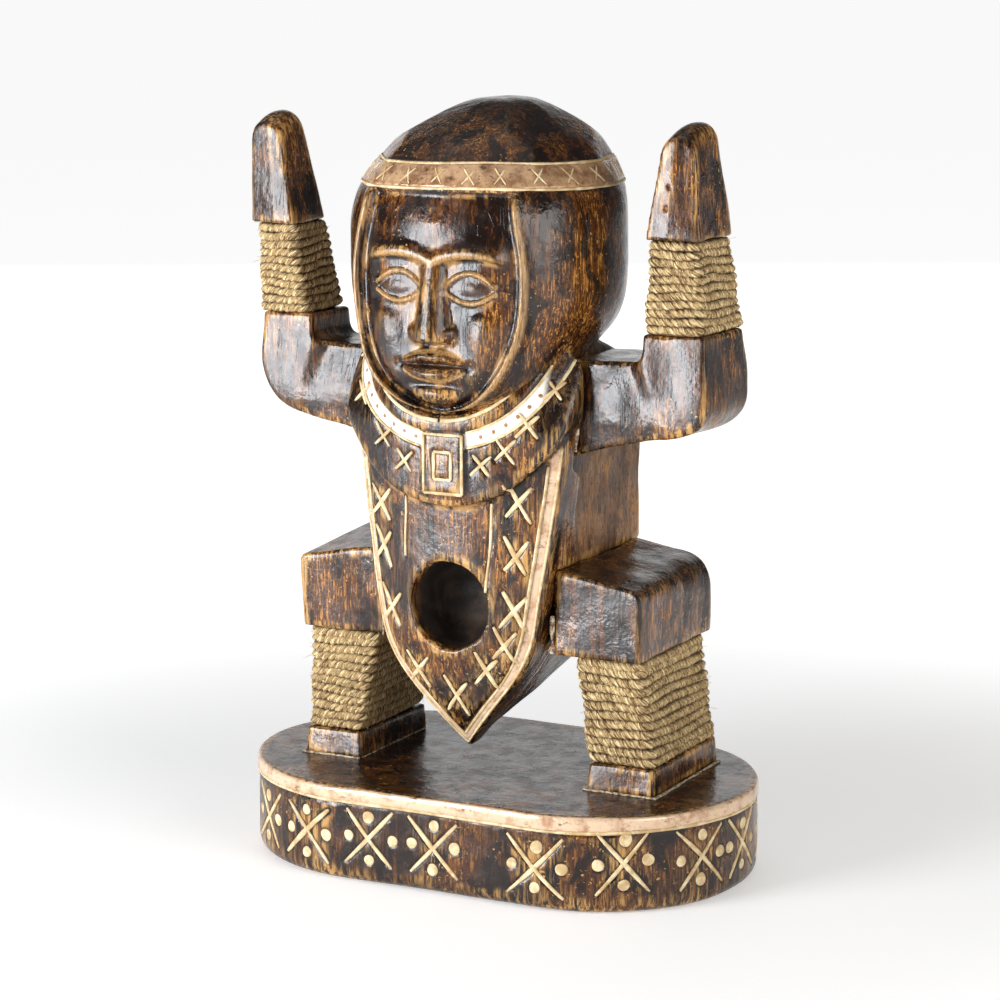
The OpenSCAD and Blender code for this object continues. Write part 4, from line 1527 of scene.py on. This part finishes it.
def floor_material():
    s = Shader("studio_floor", 0.7)
    tone = s.noise(s.place(), 2, 2, 0.5)
    split = s.tree.nodes.new("ShaderNodeSeparateXYZ")
    s.feed(split.inputs[0], s.place())
    toward = s.math("MULTIPLY", split.outputs["X"], 0.66)
    toward = s.math("ADD", toward, s.math("MULTIPLY", split.outputs["Y"], 0.75))
    distance = s.tree.nodes.new("ShaderNodeVectorMath")
    distance.operation = "LENGTH"
    s.feed(distance.inputs[0], s.place())
    reach = distance.outputs["Value"]
    # The floor glows, a painted light: dimmer near the figure, where it washes out the cast shadows, brighter
    # far off, with a painted dim sector behind and to the right.
    near = s.ramp(reach, 1.2, 0.7, 0, 0.36)
    sector = s.math("MULTIPLY", s.ramp(s.math("DIVIDE", toward, reach), 0.80, 0.93), s.ramp(reach, 0.7, 1.1))
    away = s.ramp(reach, 0.3, 1.0, 0.36, 0.85)
    away = s.math("MULTIPLY", away, s.math("SUBTRACT", 1.0, s.math("MULTIPLY", sector, 0.7)))
    s.surface.inputs["Emission Color"].default_value = (1, 1, 1, 1)
    s.feed(s.surface.inputs["Emission Strength"], s.math("MAXIMUM", near, away))
    return s.finish(s.mix(tone, (0.86, 0.86, 0.86), (0.89, 0.89, 0.89)))


# ---------------------------------------------------------------- studio

AZIMUTH = math.radians(27.3)
ELEVATION = math.radians(10.3)
CAMERA_DISTANCE = 1.918
AIM = Vector((-0.0027, -0.0014, 0.2335))
FLOOR_REACH = 400.0


def make_camera():
    lens = bpy.data.cameras.new("camera")
    lens.sensor_width = 36
    lens.lens = 108
    lens.clip_end = 100
    camera = bpy.data.objects.new("camera", lens)
    bpy.context.scene.collection.objects.link(camera)
    away = Vector((math.sin(AZIMUTH) * math.cos(ELEVATION), -math.cos(AZIMUTH) * math.cos(ELEVATION),
                   math.sin(ELEVATION)))
    camera.location = AIM + CAMERA_DISTANCE * away
    camera.rotation_euler = away.to_track_quat("Z", "Y").to_euler()
    bpy.context.scene.camera = camera


def softbox(name, place, aim, size, power, colour):
    light = bpy.data.lights.new(name, "AREA")
    light.shape = "RECTANGLE"
    light.size, light.size_y = size
    light.energy = power
    light.color = colour
    lamp = bpy.data.objects.new(name, light)
    bpy.context.scene.collection.objects.link(lamp)
    lamp.location = place
    lamp.rotation_euler = (Vector(place) - Vector(aim)).to_track_quat("Z", "Y").to_euler()


def make_studio():
    middle = (0, 0, 0.25)
    softbox("key", (-0.80, -1.40, 0.40), middle, (0.75, 0.80), 34, (0.94, 0.96, 1.0))
    softbox("fill", (1.60, -0.60, 0.75), middle, (1.0, 1.0), 16, (1.0, 0.97, 0.93))
    softbox("overhead", (-0.4, -0.3, 2.2), middle, (2.4, 2.0), 8, (1.0, 1.0, 1.0))
    softbox("backdrop_light", (-1.7, 3.1, 1.05), (0, 0, 0.1), (3.6, 1.4), 15, (1.0, 1.0, 1.0))
    world = bpy.data.worlds.new("studio")
    world.use_nodes = True
    world.node_tree.nodes["Background"].inputs["Color"].default_value = (1, 1, 1, 1)
    world.node_tree.nodes["Background"].inputs["Strength"].default_value = 0.11
    bpy.context.scene.world = world
    corners = [(x * FLOOR_REACH, y * FLOOR_REACH, 0) for x, y in ((-1, -1), (1, -1), (1, 1), (-1, 1))]
    mesh = bpy.data.meshes.new("floor")
    mesh.from_pydata(corners, [], [(0, 1, 2, 3)])
    floor = bpy.data.objects.new("floor", mesh)
    bpy.context.scene.collection.objects.link(floor)
    mesh.materials.append(floor_material())
    bpy.context.scene.view_settings.view_transform = "Standard"


# ---------------------------------------------------------------- assembly

def dress_cad_node(node, material):
    """Gives a CAD node that stays in view its material."""
    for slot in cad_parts[node].material_slots:
        slot.material = material


FOREARM_PITCH = 5.05
SHIN_PITCH = 5.8
LIMB_MARGIN = 4

make_camera()
make_studio()

wood = wood_material("stained_wood")
plinth_wood = wood_material("stained_wood_plinth", True)
cream = cream_material()
glue = glue_material()
rope = rope_material()
hair = hair_material()

trunk, apron_filling, studs = make_trunk()
finish_piece(trunk, wood, ["head_and_trunk"])
finish_piece(apron_filling, cream)
finish_piece(studs, stud_material())

head, headband_filling = make_head()
finish_piece(head, wood, ["head_and_trunk"])
finish_piece(headband_filling, cream)

plinth, plinth_filling = make_plinth()
finish_piece(plinth, plinth_wood, ["plinth"])
finish_piece(plinth_filling, cream)

for index, (side, sign) in enumerate((("left", 1), ("right", -1))):
    for node, field in ((side + "_arm", arm_field(side)), (side + "_leg", leg_field(side))):
        low, high = node_box(node)
        piece = wood_piece("carved_" + node, field, low - LIMB_MARGIN, high + LIMB_MARGIN, WOOD_STEP)
        finish_piece(piece, wood, [node])
    for limb, pitch, hairs in (("_forearm_rope", FOREARM_PITCH, 70), ("_shin_rope", SHIN_PITCH, 130)):
        node = side + limb
        coil, length, turns = winding(node, pitch, 7 + index, sign < 0)
        print("ROPE", node, round(length, 3), "m", round(turns, 1), "turns")
        finish_piece(coil, rope, [node])
        finish_piece(stray_fibres(node, pitch, hairs, 17 + index, sign < 0), hair)
    beads = [shoulder_bead(sign, 61 + index), thigh_bead(sign, 63 + index), foot_bead(sign, 65 + index)]
    finish_piece(filling_piece(side + "_joint_glue", beads), glue)

steel = steel_material()
dowel = dowel_material()
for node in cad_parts:
    if node.endswith("_dowels"):
        dress_cad_node(node, dowel)
    if node.endswith("_screws") or node == "rope_tacks":
        dress_cad_node(node, steel)
